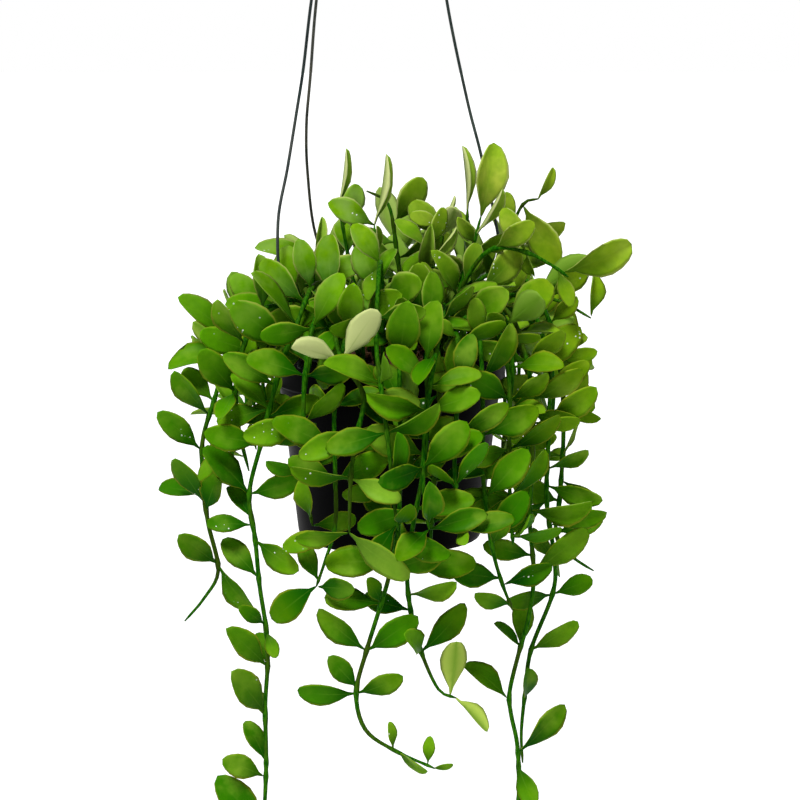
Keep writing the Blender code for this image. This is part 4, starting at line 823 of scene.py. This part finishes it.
def make_ferrule(metal):
    """The ferrule: a short tube, pressed in at two places along it."""
    foot = CLAMP_TOP - CLAMP_LENGTH
    edge = 0.0004
    outside = [(CLAMP_INNER, foot), (CLAMP_OUTER - edge, foot), (CLAMP_OUTER, foot + edge)]
    for middle in (0.32, 0.68):
        for step, depth in ((-0.0016, 0.0), (-0.0008, 0.0005), (0.0008, 0.0005), (0.0016, 0.0)):
            outside.append((CLAMP_OUTER - depth, foot + middle * CLAMP_LENGTH + step))
    outside += [(CLAMP_OUTER, CLAMP_TOP - edge), (CLAMP_OUTER - edge, CLAMP_TOP), (CLAMP_INNER, CLAMP_TOP)]
    rings = [(radius, radius, height) for radius, height in outside]
    ferrule = drawn_up("crimped_ferrule", 48, rings, "bridged")
    shade(ferrule, 50)
    stand_for(ferrule, "hanger_ferrule", metal)


def hook_route():
    """The hook: shank, neck, the bend that bears at the origin, and a flared tip."""
    middle = HOOK_BEND + HOOK_WIRE / MM
    drop = -HOOK_BEND
    foot = [(0, 0, (CLAMP_TOP - CLAMP_LENGTH) / MM - WIRE_SPARE)]
    arc = [(middle * math.cos(math.radians(angle)), 0, drop + middle * math.sin(math.radians(angle)))
           for angle in range(-20, 201, 20)]
    tip = [(-middle - 0.6, 0, drop - 8), (-middle - 2.6, 0, drop - 12)]
    return [Vector(point) * MM for point in smooth_route(foot + HOOK_SHANK + arc + tip, HOOK_STEP)]


def make_hook(coat):
    """The hook, with its two ends rounded off."""
    places = hook_route()
    shares = [1.0] * len(places)
    shares[0] = shares[-1] = 0.6
    hook = drawn_tube("bent_hook", places, HOOK_WIRE, 4, shares)
    stand_for(hook, "hanger_hook", coat)


# ---------------- vines: finished

def model_leaf_blank():
    """One flat leaf, 1 long and 2 wide, with its own map: there the underside lies 2 to the right."""
    rings = [(0.0001, 0.0001, t) if not thick else (1.0, thick, t) for t, thick in LEAF_STATIONS]
    blank = drawn_up("leaf_blank", 8, rings, "gathered")
    chart = blank.data.uv_layers.new(name="leaf_map")
    for face in blank.data.polygons:
        under = 2.0 if face.center.y > 0 else 0.0
        for corner in face.loop_indices:
            place = blank.data.vertices[blank.data.loops[corner].vertex_index].co
            chart.data[corner].uv = (0.5 + 0.5 * place.x + under, place.z)
    return blank


def blade_width(t):
    """Half a finished leaf's width: a slim stalk, a straight taper up from it and a blunt tip."""
    if t <= STALK:
        return STALK_WIDTH
    rise = ((t - STALK) / (1 - STALK)) ** 1.2
    return STALK_WIDTH + (1 - STALK_WIDTH) * max(0.0, math.sin(math.pi * rise)) ** (1.0 - 0.45 * rise)


def leaf_looks(name, leaf, label, spec):
    """How one leaf grew: its fold, twist and wave, and the marks that its material reads."""
    rng = Random(label + " looks")
    angle, turn = (spec[1], spec[4]) if " hand " in label else (0, 0)
    turned = turn > UNDER_TURN
    folded = name.startswith("shoot") and FOLDED_TURNS[0] <= turn <= FOLDED_TURNS[1]
    closed = folded and turn <= CLOSED_TURN
    pale_vine = name == "vine_front_pale"
    part_pale_and_painted_light = folded or (pale_vine and angle > RIGHT_DOWN)
    fuller = FULL_CROWN if leaf.seat.z > -RIM_DROP else FULL_BELOW
    part_fold = rng.uniform(0.45, 0.8) if rng.random() < 0.22 else rng.uniform(0.08, 0.42)
    shape = {
        "fold": math.radians(FOLD * (rng.uniform(0.9, 1.1) if folded else part_fold)),
        "breadth": 0.62 if folded else rng.uniform(0.98, 1.10) + fuller,
        "roll": 0.0 if turned or folded else rng.uniform(-0.25, 0.25),
        "twist": rng.uniform(-0.4, 0.4),
        "droop": 0.0 if folded else rng.uniform(-0.03, 0.14),
        "wave": rng.uniform(0.0, 0.16),
        "phase": rng.random(),
        "firm": folded,
    }
    if closed:
        shape.update(fold=math.radians(CLOSED_FOLD), roll=math.radians(CLOSED_FACE - turn), breadth=0.9)
    marks = {
        "tint": rng.random() ** 1.3,
        "young": 1.0 if leaf.length < SHORT_LEAF else rng.random() ** 3,
        "olive": rng.random() * 0.8,
        "pale": 1.0 if turned or folded else rng.random() * 0.5,
        # pale colour and painted light: lifts closed and folded leaves, which the lamps leave in shade, and
        # some leaves of the pale vine
        "pale_and_painted_light": 1.0 if closed else 0.5 if part_pale_and_painted_light else 0.0,
        "creamy": 1.0 if pale_vine and turned else 0.0,
        "rimmed": 1.0 if folded else rng.random() * 0.6,
        # share of painted sheen: a painted highlight on the leaf's upper part
        "painted_sheen": rng.random(),
        "wet": 1.0 if rng.random() < 0.3 else 0.0,
    }
    return shape, marks


def leaf_place(leaf, slip, shape, t, u, lift):
    """A place on a finished leaf: folded along its midrib, twisted and waved, with its foot on its stem."""
    grown = min(1.0, t / ROLL_SHARE)
    half = blade_width(t) * leaf.width * (1 + (shape["breadth"] - 1) * grown)
    turn = Quaternion(leaf.along, shape["twist"] * t + shape["roll"] * grown)
    across = turn @ leaf.across
    face = turn @ leaf.face
    fold = shape["fold"] * min(1.0, max(0.0, (t - STALK) / FOLD_SHARE))
    side = 1.0 if u >= 0 else -1.0
    blade = across * (math.cos(fold) * u) + face * (math.sin(fold) * abs(u))
    out = face * math.cos(fold) - across * (side * math.sin(fold) * min(1.0, 3 * abs(u)))
    wave = shape["wave"] * math.sin(2 * math.pi * (EDGE_WAVES * t + shape["phase"] + 0.2 * side)) * u * u
    sag = (leaf.cup + wave) * half * u * u - (leaf.bend + shape["droop"]) * leaf.length * t * t
    return (leaf.seat + leaf.along * (t * leaf.length) + blade * half + face * sag + out * lift
            + slip * (1 - t) ** 2)


def lay_leaf(blank, places, marks):
    """A copy of the blank, laid out as one leaf and marked for its material."""
    piece = twin(blank)
    for vert, place in zip(piece.data.vertices, places):
        vert.co = place
    for key, value in marks.items():
        layer = piece.data.attributes.new(key, "FLOAT", "POINT")
        layer.data.foreach_set("value", [value] * len(piece.data.vertices))
    return piece


def tree_of(mesh, places=None):
    """A search tree over a mesh's faces, with its points at other places if any are given."""
    places = places or [vert.co for vert in mesh.vertices]
    return BVHTree.FromPolygons(places, [face.vertices for face in mesh.polygons])


def clear_places(blank, leaf, slip, shape, name, crowd):
    """A finished leaf's points, laid flatter where it would pass into what isn't its own vine's."""
    for ease, roll in EASES[:1] if shape["firm"] else EASES:
        eased = dict(shape, **{key: shape[key] * ease for key in EASED})
        eased["roll"] += roll
        places = [leaf_place(leaf, slip, eased, vert.co.z, vert.co.x, -vert.co.y * LEAF_HALF_THICK)
                  for vert in blank.data.vertices]
        tree = tree_of(blank.data, places)
        if not any(owner != name and tree.overlap(other) for owner, other in crowd):
            break
    crowd.append((name, tree))
    return places


def grown_leaves(row):
    """The leaves that a vine of the CAD model bears, found by where their tips are."""
    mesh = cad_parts[row[0]].data
    tree = KDTree(len(mesh.vertices))
    for index, vert in enumerate(mesh.vertices):
        tree.insert(vert.co, index)
    tree.balance()
    leaves = []
    for plan in leaf_plans(row):
        for leaf in leaf_tries(plan):
            if tree.find(leaf.tip())[2] < TIP_MATCH:
                leaves.append((leaf, plan))
                break
    return leaves


def nearest(places, target):
    """Which of some places is nearest, and that place."""
    best = min(range(len(places)), key=lambda index: (places[index] - target).length_squared)
    return best, places[best]


def stem_shares(places, seats):
    """How thick a stem is along its places: swollen at its nodes, slim towards its growing tip."""
    left = [0.0] * len(places)
    for index in range(len(places) - 2, -1, -1):
        left[index] = left[index + 1] + (places[index + 1] - places[index]).length
    shares = [SLIM_TIP + (1 - SLIM_TIP) * min(1.0, distance / SLIM_LENGTH) for distance in left]
    for seat in seats:
        index = nearest(places, seat)[0]
        shares[index] = max(shares[index], min(MOST_SWELL, shares[index] * NODE_SWELL))
    shares[-1] = STEM_POINT
    return shares


def make_stem(row, stem_finish, crowd):
    """A finished stem, with the places along it and the leaves that its vine bears."""
    name, route, root = row[:3]
    grown = grown_leaves(row)
    places = [spot(*point) for point in smooth_route(vine_route(route, root), FINE_STEP)]
    shares = stem_shares(places, [leaf.seat for leaf, _ in grown])
    stem = drawn_tube(name + "_foliage", places, STEM_RADIUS, 2, shares)
    stem.data.materials.append(stem_finish)
    crowd.append((name, tree_of(stem.data)))
    return name, stem, places, grown


def dress_vine(vine, blank, crowd):
    """Lay a vine's leaves along its stem, and make them one piece."""
    name, stem, places, grown = vine
    pieces = []
    for leaf, (label, _, spec) in grown:
        shape, marks = leaf_looks(name, leaf, label, spec)
        slip = nearest(places, leaf.seat)[1] - leaf.seat
        slip -= leaf.along * slip.dot(leaf.along)
        pieces.append(lay_leaf(blank, clear_places(blank, leaf, slip, shape, name, crowd), marks))
    join_all(stem, pieces)
    stand_for(stem, name)


# ---------------- materials

def fill_in(tree, node, inputs):
    """Give a node its inputs: each takes a value, or the output that feeds it."""
    for key, value in inputs.items():
        if isinstance(value, bpy.types.NodeSocket):
            tree.links.new(value, node.inputs[key])
        else:
            node.inputs[key].default_value = value


def put(tree, kind, inputs, **settings):
    """A node with its inputs and settings; returns its outputs."""
    node = tree.nodes.new("ShaderNode" + kind)
    for key, value in settings.items():
        setattr(node, key, value)
    fill_in(tree, node, inputs)
    return node.outputs


def maths(tree, operation, *values):
    """The result of a sum on one to three values."""
    return put(tree, "Math", dict(enumerate(values)), operation=operation)[0]


def times(tree, value, *others):
    """The product of some values."""
    for other in others:
        value = maths(tree, "MULTIPLY", value, other)
    return value


def scaled(tree, value, size, base):
    """A value times a size, added to a base."""
    return maths(tree, "MULTIPLY_ADD", value, size, base)


def ramp(tree, value, low, high):
    """0 below low, 1 above high, and smooth between; low may be the greater."""
    inputs = {"Value": value, "From Min": low, "From Max": high}
    return put(tree, "MapRange", inputs, interpolation_type="SMOOTHSTEP", clamp=True)[0]


def blend(tree, share, first, second):
    """One colour laid over another by a share."""
    return put(tree, "Mix", {0: share, 6: first, 7: second}, data_type="RGBA")[2]


def layered(tree, colour, layers):
    """A colour with others laid over it in turn, each by its share."""
    for share, over in layers:
        colour = blend(tree, share, colour, over)
    return colour


def ink(red, green, blue):
    """A colour as the eye sees it on a screen, 0 to 255 for each part."""
    parts = []
    for value in (red, green, blue):
        share = value / 255
        parts.append(share / 12.92 if share <= 0.04045 else ((share + 0.055) / 1.055) ** 2.4)
    return (*parts, 1.0)


def noisy(tree, place, scale, detail=3.0, roughness=0.5, stretch=None):
    """Cloudy noise from 0 to 1, stretched where the place is scaled down."""
    if stretch:
        place = put(tree, "Mapping", {"Vector": place, "Scale": stretch})[0]
    inputs = {"Vector": place, "Scale": scale, "Detail": detail, "Roughness": roughness}
    return put(tree, "TexNoise", inputs)["Fac"]


def split(tree, place):
    """The parts of a place or direction, by X, Y and Z."""
    return put(tree, "SeparateXYZ", {0: place})


def mark(tree, name):
    """A value that the mesh carries for each leaf."""
    return put(tree, "Attribute", {}, attribute_name=name)["Fac"]


def mask_group(name, **values):
    """A new node group that takes a place and some values and gives a mask, with its ends to connect."""
    group = bpy.data.node_groups.new(name, "ShaderNodeTree")
    group.interface.new_socket(name="Place", in_out="INPUT", socket_type="NodeSocketVector")
    for key, value in values.items():
        socket = group.interface.new_socket(name=key, in_out="INPUT", socket_type="NodeSocketFloat")
        socket.default_value = value
    group.interface.new_socket(name="Mask", in_out="OUTPUT", socket_type="NodeSocketFloat")
    return group, group.nodes.new("NodeGroupInput").outputs, group.nodes.new("NodeGroupOutput").inputs["Mask"]


def use(tree, group, **inputs):
    """The mask of a group that is placed in a material with its own values."""
    node = tree.nodes.new("ShaderNodeGroup")
    node.node_tree = group
    fill_in(tree, node, inputs)
    return node.outputs["Mask"]


def make_mottle():
    """Group: soft uneven patches, from 0 to 1, of a size in metres."""
    group, given, mask = mask_group("mottle", Size=0.01, Low=0.35, High=0.65)
    scale = maths(group, "DIVIDE", 1.0, given["Size"])
    cloud = noisy(group, given["Place"], scale, roughness=0.55)
    patches = put(group, "MapRange", {"Value": cloud, "From Min": given["Low"], "From Max": given["High"]})
    group.links.new(patches[0], mask)
    return group


def make_dust():
    """Group: dust that settles on what faces up and gathers in patches."""
    group, given, mask = mask_group("settled_dust", Amount=0.5)
    level = split(group, put(group, "NewGeometry", {})["Normal"])["Z"]
    patches = ramp(group, noisy(group, given["Place"], 90.0, 4.0), 0.35, 0.7)
    group.links.new(times(group, ramp(group, level, -0.2, 1.0), patches, given["Amount"]), mask)
    return group


def make_drops():
    """Group: small white spots, gathered in a few places: painted glints of water drops."""
    group, given, mask = mask_group("painted_drop_glints", Amount=1.0)
    cells = put(group, "TexVoronoi", {"Vector": given["Place"], "Scale": 420.0})
    where = ramp(group, noisy(group, given["Place"], 60.0, 1.0), 0.52, 0.62)
    chance = put(group, "SeparateColor", {0: cells["Color"]})[0]
    reach = times(group, maths(group, "SUBTRACT", chance, 0.55), 0.6)
    dots = ramp(group, maths(group, "SUBTRACT", reach, cells["Distance"]), -0.01, 0.04)
    group.links.new(times(group, dots, where, given["Amount"]), mask)
    return group


def new_material(name, **values):
    """A Principled material with its even values, its node tree, and a point's place on its object."""
    material = bpy.data.materials.new(name)
    material.use_nodes = True
    tree = material.node_tree
    for key, value in values.items():
        tree.nodes["Principled BSDF"].inputs[key.replace("_", " ")].default_value = value
    return material, tree, put(tree, "TexCoord", {})["Object"]


def feed(tree, colour, roughness, height, strength, distance):
    """Connect a material's colour, roughness and bump."""
    bump = put(tree, "Bump", {"Height": height, "Strength": strength, "Distance": distance})[0]
    fill_in(tree, tree.nodes["Principled BSDF"],
            {"Base Color": colour, "Roughness": roughness, "Normal": bump})


def leaf_chart(tree):
    """Where a point is on its leaf: 1 on the underside, from stalk to tip, and out from the midrib."""
    chart = split(tree, put(tree, "UVMap", {}, uv_map="leaf_map")[0])
    under = maths(tree, "GREATER_THAN", chart["X"], 1.5)
    across = maths(tree, "SUBTRACT", chart["X"], times(tree, under, 2.0))
    from_rib = maths(tree, "ABSOLUTE", maths(tree, "SUBTRACT", times(tree, across, 2.0), 1.0))
    return under, chart["Y"], from_rib


def crown_share(tree, place):
    """0 by the rim and under it, and 1 high up in the crown."""
    return ramp(tree, split(tree, place)["Z"], -0.455, -0.375)


def place_tones(tree, place, cloud):
    """Shares and colours that a green takes on by where a leaf is on the plant: painted light high in the
    crown and on its outer sides, a yellow tone on the crown's right, and painted shade low on its left.
    """
    where = split(tree, place)
    crown = crown_share(tree, place)
    straw = times(tree, ramp(tree, where["X"], -0.03, 0.06), crown, scaled(tree, cloud, 0.45, 0.2))
    # painted light: leaves out at the sides, from below the rim upwards, lighter as if more lit
    beside = ramp(tree, maths(tree, "ABSOLUTE", where["X"]), 0.05, 0.11)
    painted_sidelight = times(tree, beside, ramp(tree, where["Z"], -0.56, -0.45), 0.4)
    sidelight_tone = blend(tree, ramp(tree, where["X"], -0.05, 0.05), ink(124, 192, 16), ink(160, 188, 22))
    # painted shade: leaves low on the left darker
    painted_shade = times(tree, ramp(tree, where["X"], -0.04, -0.10), ramp(tree, where["Z"], -0.49, -0.57), 0.45)
    # painted light: leaves high in the crown lighter, as if lit from above
    return [(times(tree, crown, 0.55), ink(146, 190, 16)), (straw, ink(208, 212, 84)), (painted_sidelight, sidelight_tone),
            (painted_shade, ink(16, 96, 4))]


def leaf_green(tree, place, along, rib, patch, cloud):
    """The green of a leaf's top: its own tint, what its place adds, painted shade at its heel, its rib, and a
    painted sheen.
    """
    own = blend(tree, mark(tree, "tint"), ink(2, 80, 0), ink(70, 144, 2))
    tip = times(tree, ramp(tree, along, 0.15, 1.0), mark(tree, "olive"))
    to_left = times(tree, ramp(tree, split(tree, place)["X"], 0.02, -0.04), crown_share(tree, place))
    # pale colour and painted light on the marked leaves, in patches, stronger towards the tip
    pale_and_painted_light = times(tree, mark(tree, "pale_and_painted_light"), scaled(tree, patch, -0.35, 1.0), ramp(tree, along, -0.4, 0.7))
    return layered(tree, own, [
        (tip, ink(96, 138, 4)),
        (times(tree, mark(tree, "young"), 0.6), ink(128, 180, 24)),
        *place_tones(tree, place, cloud),
        (times(tree, patch, 0.4), ink(30, 106, 1)),
        # painted shade: darker towards the stalk, where the leaf sits in the plant's shade
        (times(tree, ramp(tree, along, 0.78, 0.05), 0.76), ink(4, 62, 0)),
        (times(tree, rib, 0.14), ink(140, 186, 60)),
        # painted sheen: a soft painted highlight over the leaf's upper part, by the leaf's mark for it
        (times(tree, cloud, ramp(tree, along, 0.2, 0.7), mark(tree, "painted_sheen"), 0.5), ink(148, 184, 54)),
        (times(tree, to_left, cloud, 0.55), ink(134, 170, 92)),
        (pale_and_painted_light, ink(150, 188, 60)),
    ])


def leaf_underside(tree, place, from_rib, rib):
    """The dull green of a leaf's underside, pale or creamy on the leaves that are marked so."""
    crown = crown_share(tree, place)
    creamy = mark(tree, "creamy")
    pale = times(tree, mark(tree, "pale"), maths(tree, "MAXIMUM", ramp(tree, from_rib, -0.5, 0.8), creamy))
    cream = blend(tree, maths(tree, "MAXIMUM", crown, creamy), ink(168, 192, 80), ink(204, 214, 140))
    return layered(tree, ink(84, 138, 14), [
        (times(tree, crown, 0.6), ink(154, 188, 66)),
        (pale, cream),
        (times(tree, rib, 0.4), ink(140, 176, 70)),
    ])


def leaf_material(mottle, drops):
    """Thick waxy leaves: mottled green tops with thin pale rims, and lighter or cream undersides."""
    material, tree, place = new_material("dischidia_leaf", Specular_IOR_Level=0.018)
    under, along, from_rib = leaf_chart(tree)
    rib = times(tree, ramp(tree, from_rib, 0.10, 0.0), ramp(tree, along, 0.95, 0.1))
    patch = use(tree, mottle, Place=place, Size=0.006, Low=0.3, High=0.75)
    cloud = use(tree, mottle, Place=place, Size=0.018, Low=0.46, High=0.68)
    uneven = times(tree, use(tree, mottle, Place=place, Size=0.02), 0.06)
    rim = times(tree, ramp(tree, maths(tree, "ADD", from_rib, uneven), 0.87, 0.99),
                scaled(tree, mark(tree, "rimmed"), 0.6, 0.4))
    rim_tone = blend(tree, crown_share(tree, place), ink(146, 158, 36), ink(208, 218, 134))
    top = blend(tree, rim, leaf_green(tree, place, along, rib, patch, cloud), rim_tone)
    # painted highlight: white spots stand for the glints of water drops on the leaf tops; their lower
    # roughness and raised bump are the drops' own
    drop_glints = times(tree, use(tree, drops, Place=place, Amount=mark(tree, "wet")),
                   maths(tree, "SUBTRACT", 1.0, under))
    colour = layered(tree, top, [(under, leaf_underside(tree, place, from_rib, rib)),
                                 (drop_glints, ink(235, 240, 230))])
    rough = maths(tree, "SUBTRACT", scaled(tree, patch, 0.14, 0.34), times(tree, drop_glints, 0.2))
    relief = maths(tree, "ADD", times(tree, noisy(tree, place, 2600.0, 2.0), 0.12), times(tree, drop_glints, 0.8))
    relief = maths(tree, "SUBTRACT", relief, times(tree, rib, 0.5))
    feed(tree, colour, rough, relief, 0.35, 0.0004)
    return material


def stem_material(mottle):
    """Green stems, browner in patches, with fine streaks."""
    material, tree, place = new_material("dischidia_stem", Specular_IOR_Level=0.018)
    streaks = noisy(tree, place, 900.0, stretch=(1.0, 1.0, 0.25))
    old = use(tree, mottle, Place=place, Size=0.035, Low=0.5, High=0.62)
    colour = layered(tree, ink(14, 78, 2), [(ramp(tree, streaks, 0.35, 0.65), ink(54, 114, 8)),
                                            (times(tree, old, 0.55), ink(62, 60, 16))])
    feed(tree, colour, scaled(tree, streaks, 0.2, 0.4), streaks, 0.3, 0.0003)
    return material


def plastic_material(mottle, dust):
    """Satin black moulded plastic: faint swirls, scuffs and settled dust."""
    material, tree, place = new_material("nursery_plastic", Specular_IOR_Level=0.01)
    swirl = use(tree, mottle, Place=place, Size=0.03, Low=0.3, High=0.7)
    band = put(tree, "TexWave", {"Vector": place, "Scale": 180.0, "Distortion": 1.5, "Detail": 2.0},
               bands_direction="Z")["Fac"]
    scratch = noisy(tree, place, 1500.0, stretch=(0.12, 0.12, 1.0))
    scuffs = times(tree, ramp(tree, scratch, 0.62, 0.72), 0.3)
    settled = use(tree, dust, Place=place, Amount=0.18)
    colour = layered(tree, ink(3, 3, 4), [(swirl, ink(11, 11, 12)), (scuffs, ink(26, 26, 28)),
                                          (settled, ink(112, 98, 80))])
    rough = maths(tree, "ADD", scaled(tree, swirl, 0.12, 0.36), times(tree, settled, 0.6))
    relief = maths(tree, "ADD", times(tree, band, 0.25), times(tree, scratch, 0.5))
    feed(tree, colour, rough, relief, 0.12, 0.0003)
    return material


def crumb_material(name, mottle, dark, light, size, rough):
    """Soil, bark or grit: two tones in patches, with a crumbly surface."""
    material, tree, place = new_material(name, Specular_IOR_Level=0.2)
    patch = use(tree, mottle, Place=place, Size=size, Low=0.38, High=0.62)
    crumbs = put(tree, "TexVoronoi", {"Vector": place, "Scale": 1.6 / size})["Distance"]
    cracks = times(tree, ramp(tree, crumbs, 0.5, 0.1), 0.5)
    colour = layered(tree, dark, [(patch, light), (cracks, dark)])
    feed(tree, colour, scaled(tree, patch, 0.1, rough), crumbs, 0.8, 0.0008)
    return material


def coat_material(name, mottle, dust, dark, light):
    """Coated wire: smooth plastic coat with slight wear and dust."""
    material, tree, place = new_material(name, Specular_IOR_Level=0.15)
    worn = use(tree, mottle, Place=place, Size=0.012, Low=0.42, High=0.62)
    settled = use(tree, dust, Place=place, Amount=0.35)
    colour = layered(tree, dark, [(worn, light), (settled, ink(128, 124, 112))])
    feed(tree, colour, scaled(tree, worn, 0.15, 0.38), noisy(tree, place, 2200.0, 2.0), 0.15, 0.0002)
    return material


def metal_material(mottle):
    """Pressed aluminium: fine scratches along it and dulled patches."""
    material, tree, place = new_material("pressed_metal", Metallic=1.0)
    scratch = noisy(tree, place, 4000.0, stretch=(1.0, 1.0, 0.1))
    dull = use(tree, mottle, Place=place, Size=0.004)
    colour = blend(tree, dull, ink(158, 160, 163), ink(112, 114, 117))
    feed(tree, colour, scaled(tree, dull, 0.25, 0.28), scratch, 0.2, 0.0001)
    return material


# ---------------- stage, light and camera

def seen_directly(tree):
    """1 where a ray comes from the camera or by way of a mirror-like or clear surface."""
    path = put(tree, "LightPath", {})
    shown = maths(tree, "MAXIMUM", path["Is Camera Ray"], path["Is Glossy Ray"])
    return maths(tree, "MAXIMUM", shown, path["Is Transmission Ray"])


def white_surround():
    """A world that looks white and gives a soft, even fill."""
    world = bpy.data.worlds.new("white_surround")
    bpy.context.scene.world = world
    world.use_nodes = True
    tree = world.node_tree
    fill = tree.nodes["Background"]
    fill_in(tree, fill, {"Color": FILL_COLOUR, "Strength": FILL_STRENGTH})
    white = put(tree, "Background", {"Color": WHITE, "Strength": 1.0})[0]
    mixed = put(tree, "MixShader", {0: seen_directly(tree), 1: fill.outputs[0], 2: white})[0]
    fill_in(tree, tree.nodes["World Output"], {"Surface": mixed})


def pale_floor():
    """A plain pale floor that takes the plant's shadow."""
    floor = added(bpy.ops.mesh.primitive_plane_add, "pale_floor", size=60.0, location=(0, 0, FLOOR_HEIGHT))
    bpy.ops.object.transform_apply(location=True, rotation=False, scale=False)
    material, tree, place = new_material("pale_floor", Roughness=0.8, Specular_IOR_Level=0.0)
    tone = blend(tree, noisy(tree, place, 3.0, 2.0), (0.80, 0.80, 0.80, 1.0), (0.82, 0.82, 0.82, 1.0))
    fill_in(tree, tree.nodes["Principled BSDF"], {"Base Color": tone})
    lit = tree.nodes["Principled BSDF"].outputs[0]
    glow = put(tree, "Emission", {"Color": WHITE, "Strength": FLOOR_GLOW})[0]
    both = put(tree, "AddShader", {0: lit, 1: glow})[0]
    mixed = put(tree, "MixShader", {0: seen_directly(tree), 1: lit, 2: both})[0]
    fill_in(tree, tree.nodes["Material Output"], {"Surface": mixed})
    floor.data.materials.append(material)


def add_lamp(name, direction, strength, spread):
    """A soft lamp that shines from a direction."""
    lamp = added(bpy.ops.object.light_add, name, type="SUN", location=CAMERA_AIM + direction)
    lamp.rotation_euler = direction.to_track_quat("Z", "Y").to_euler()
    lamp.data.energy = strength
    lamp.data.angle = math.radians(spread)


def add_camera():
    """The camera, a little above the pot and looking slightly down at it."""
    pitch = math.radians(CAMERA_PITCH)
    away = Vector((0, -math.cos(pitch), math.sin(pitch)))
    camera = added(bpy.ops.object.camera_add, "view_camera", location=CAMERA_AIM + CAMERA_DISTANCE * away,
                   rotation=(math.pi / 2 - pitch, 0, 0))
    camera.data.lens = CAMERA_LENS
    camera.data.sensor_width = 36.0
    bpy.context.scene.camera = camera


# ---------------- the whole plant

def make_holder(mottle, dust):
    """The pot with its mix, and what they hang on; returns what vines have to keep clear of."""
    black_coat = coat_material("black_coat", mottle, dust, ink(16, 28, 28), ink(34, 48, 46))
    grey_coat = coat_material("grey_coat", mottle, dust, ink(46, 50, 44), ink(74, 74, 64))
    green_coat = coat_material("green_coat", mottle, dust, ink(28, 40, 36), ink(48, 60, 54))
    pot = make_pot(plastic_material(mottle, dust))
    make_mix(crumb_material("fine_coir", mottle, ink(34, 24, 16), ink(78, 56, 36), 0.004, 0.86),
             crumb_material("bark_chip", mottle, ink(62, 40, 24), ink(126, 88, 56), 0.003, 0.78),
             crumb_material("pale_grit", mottle, ink(196, 192, 180), ink(232, 230, 222), 0.001, 0.80))
    wires = make_wires({"hanger_wire_left": black_coat, "hanger_wire_back": grey_coat,
                        "hanger_wire_right": green_coat})
    make_ferrule(metal_material(mottle))
    make_hook(green_coat)
    return [pot] + wires


def make_vines(leaf_finish, stem_finish, solids):
    """Every vine: all the stems first, so that leaves can keep clear of them and of the solids."""
    blank = model_leaf_blank()
    blank.data.materials.append(leaf_finish)
    for face in blank.data.polygons:
        face.use_smooth = True
    crowd = [(solid.name, tree_of(solid.data)) for solid in solids]
    for vine in [make_stem(row, stem_finish, crowd) for row in vine_rows()]:
        dress_vine(vine, blank, crowd)
    bpy.data.objects.remove(blank, do_unlink=True)


def main():
    """Stage, then every piece of the plant with its finish."""
    bpy.context.scene.view_settings.view_transform = "Standard"
    add_camera()
    white_surround()
    pale_floor()
    for name, direction, strength, spread in LAMPS:
        add_lamp(name, Vector(direction), strength, spread)
    mottle = make_mottle()
    solids = make_holder(mottle, make_dust())
    make_vines(leaf_material(mottle, make_drops()), stem_material(mottle), solids)


main()
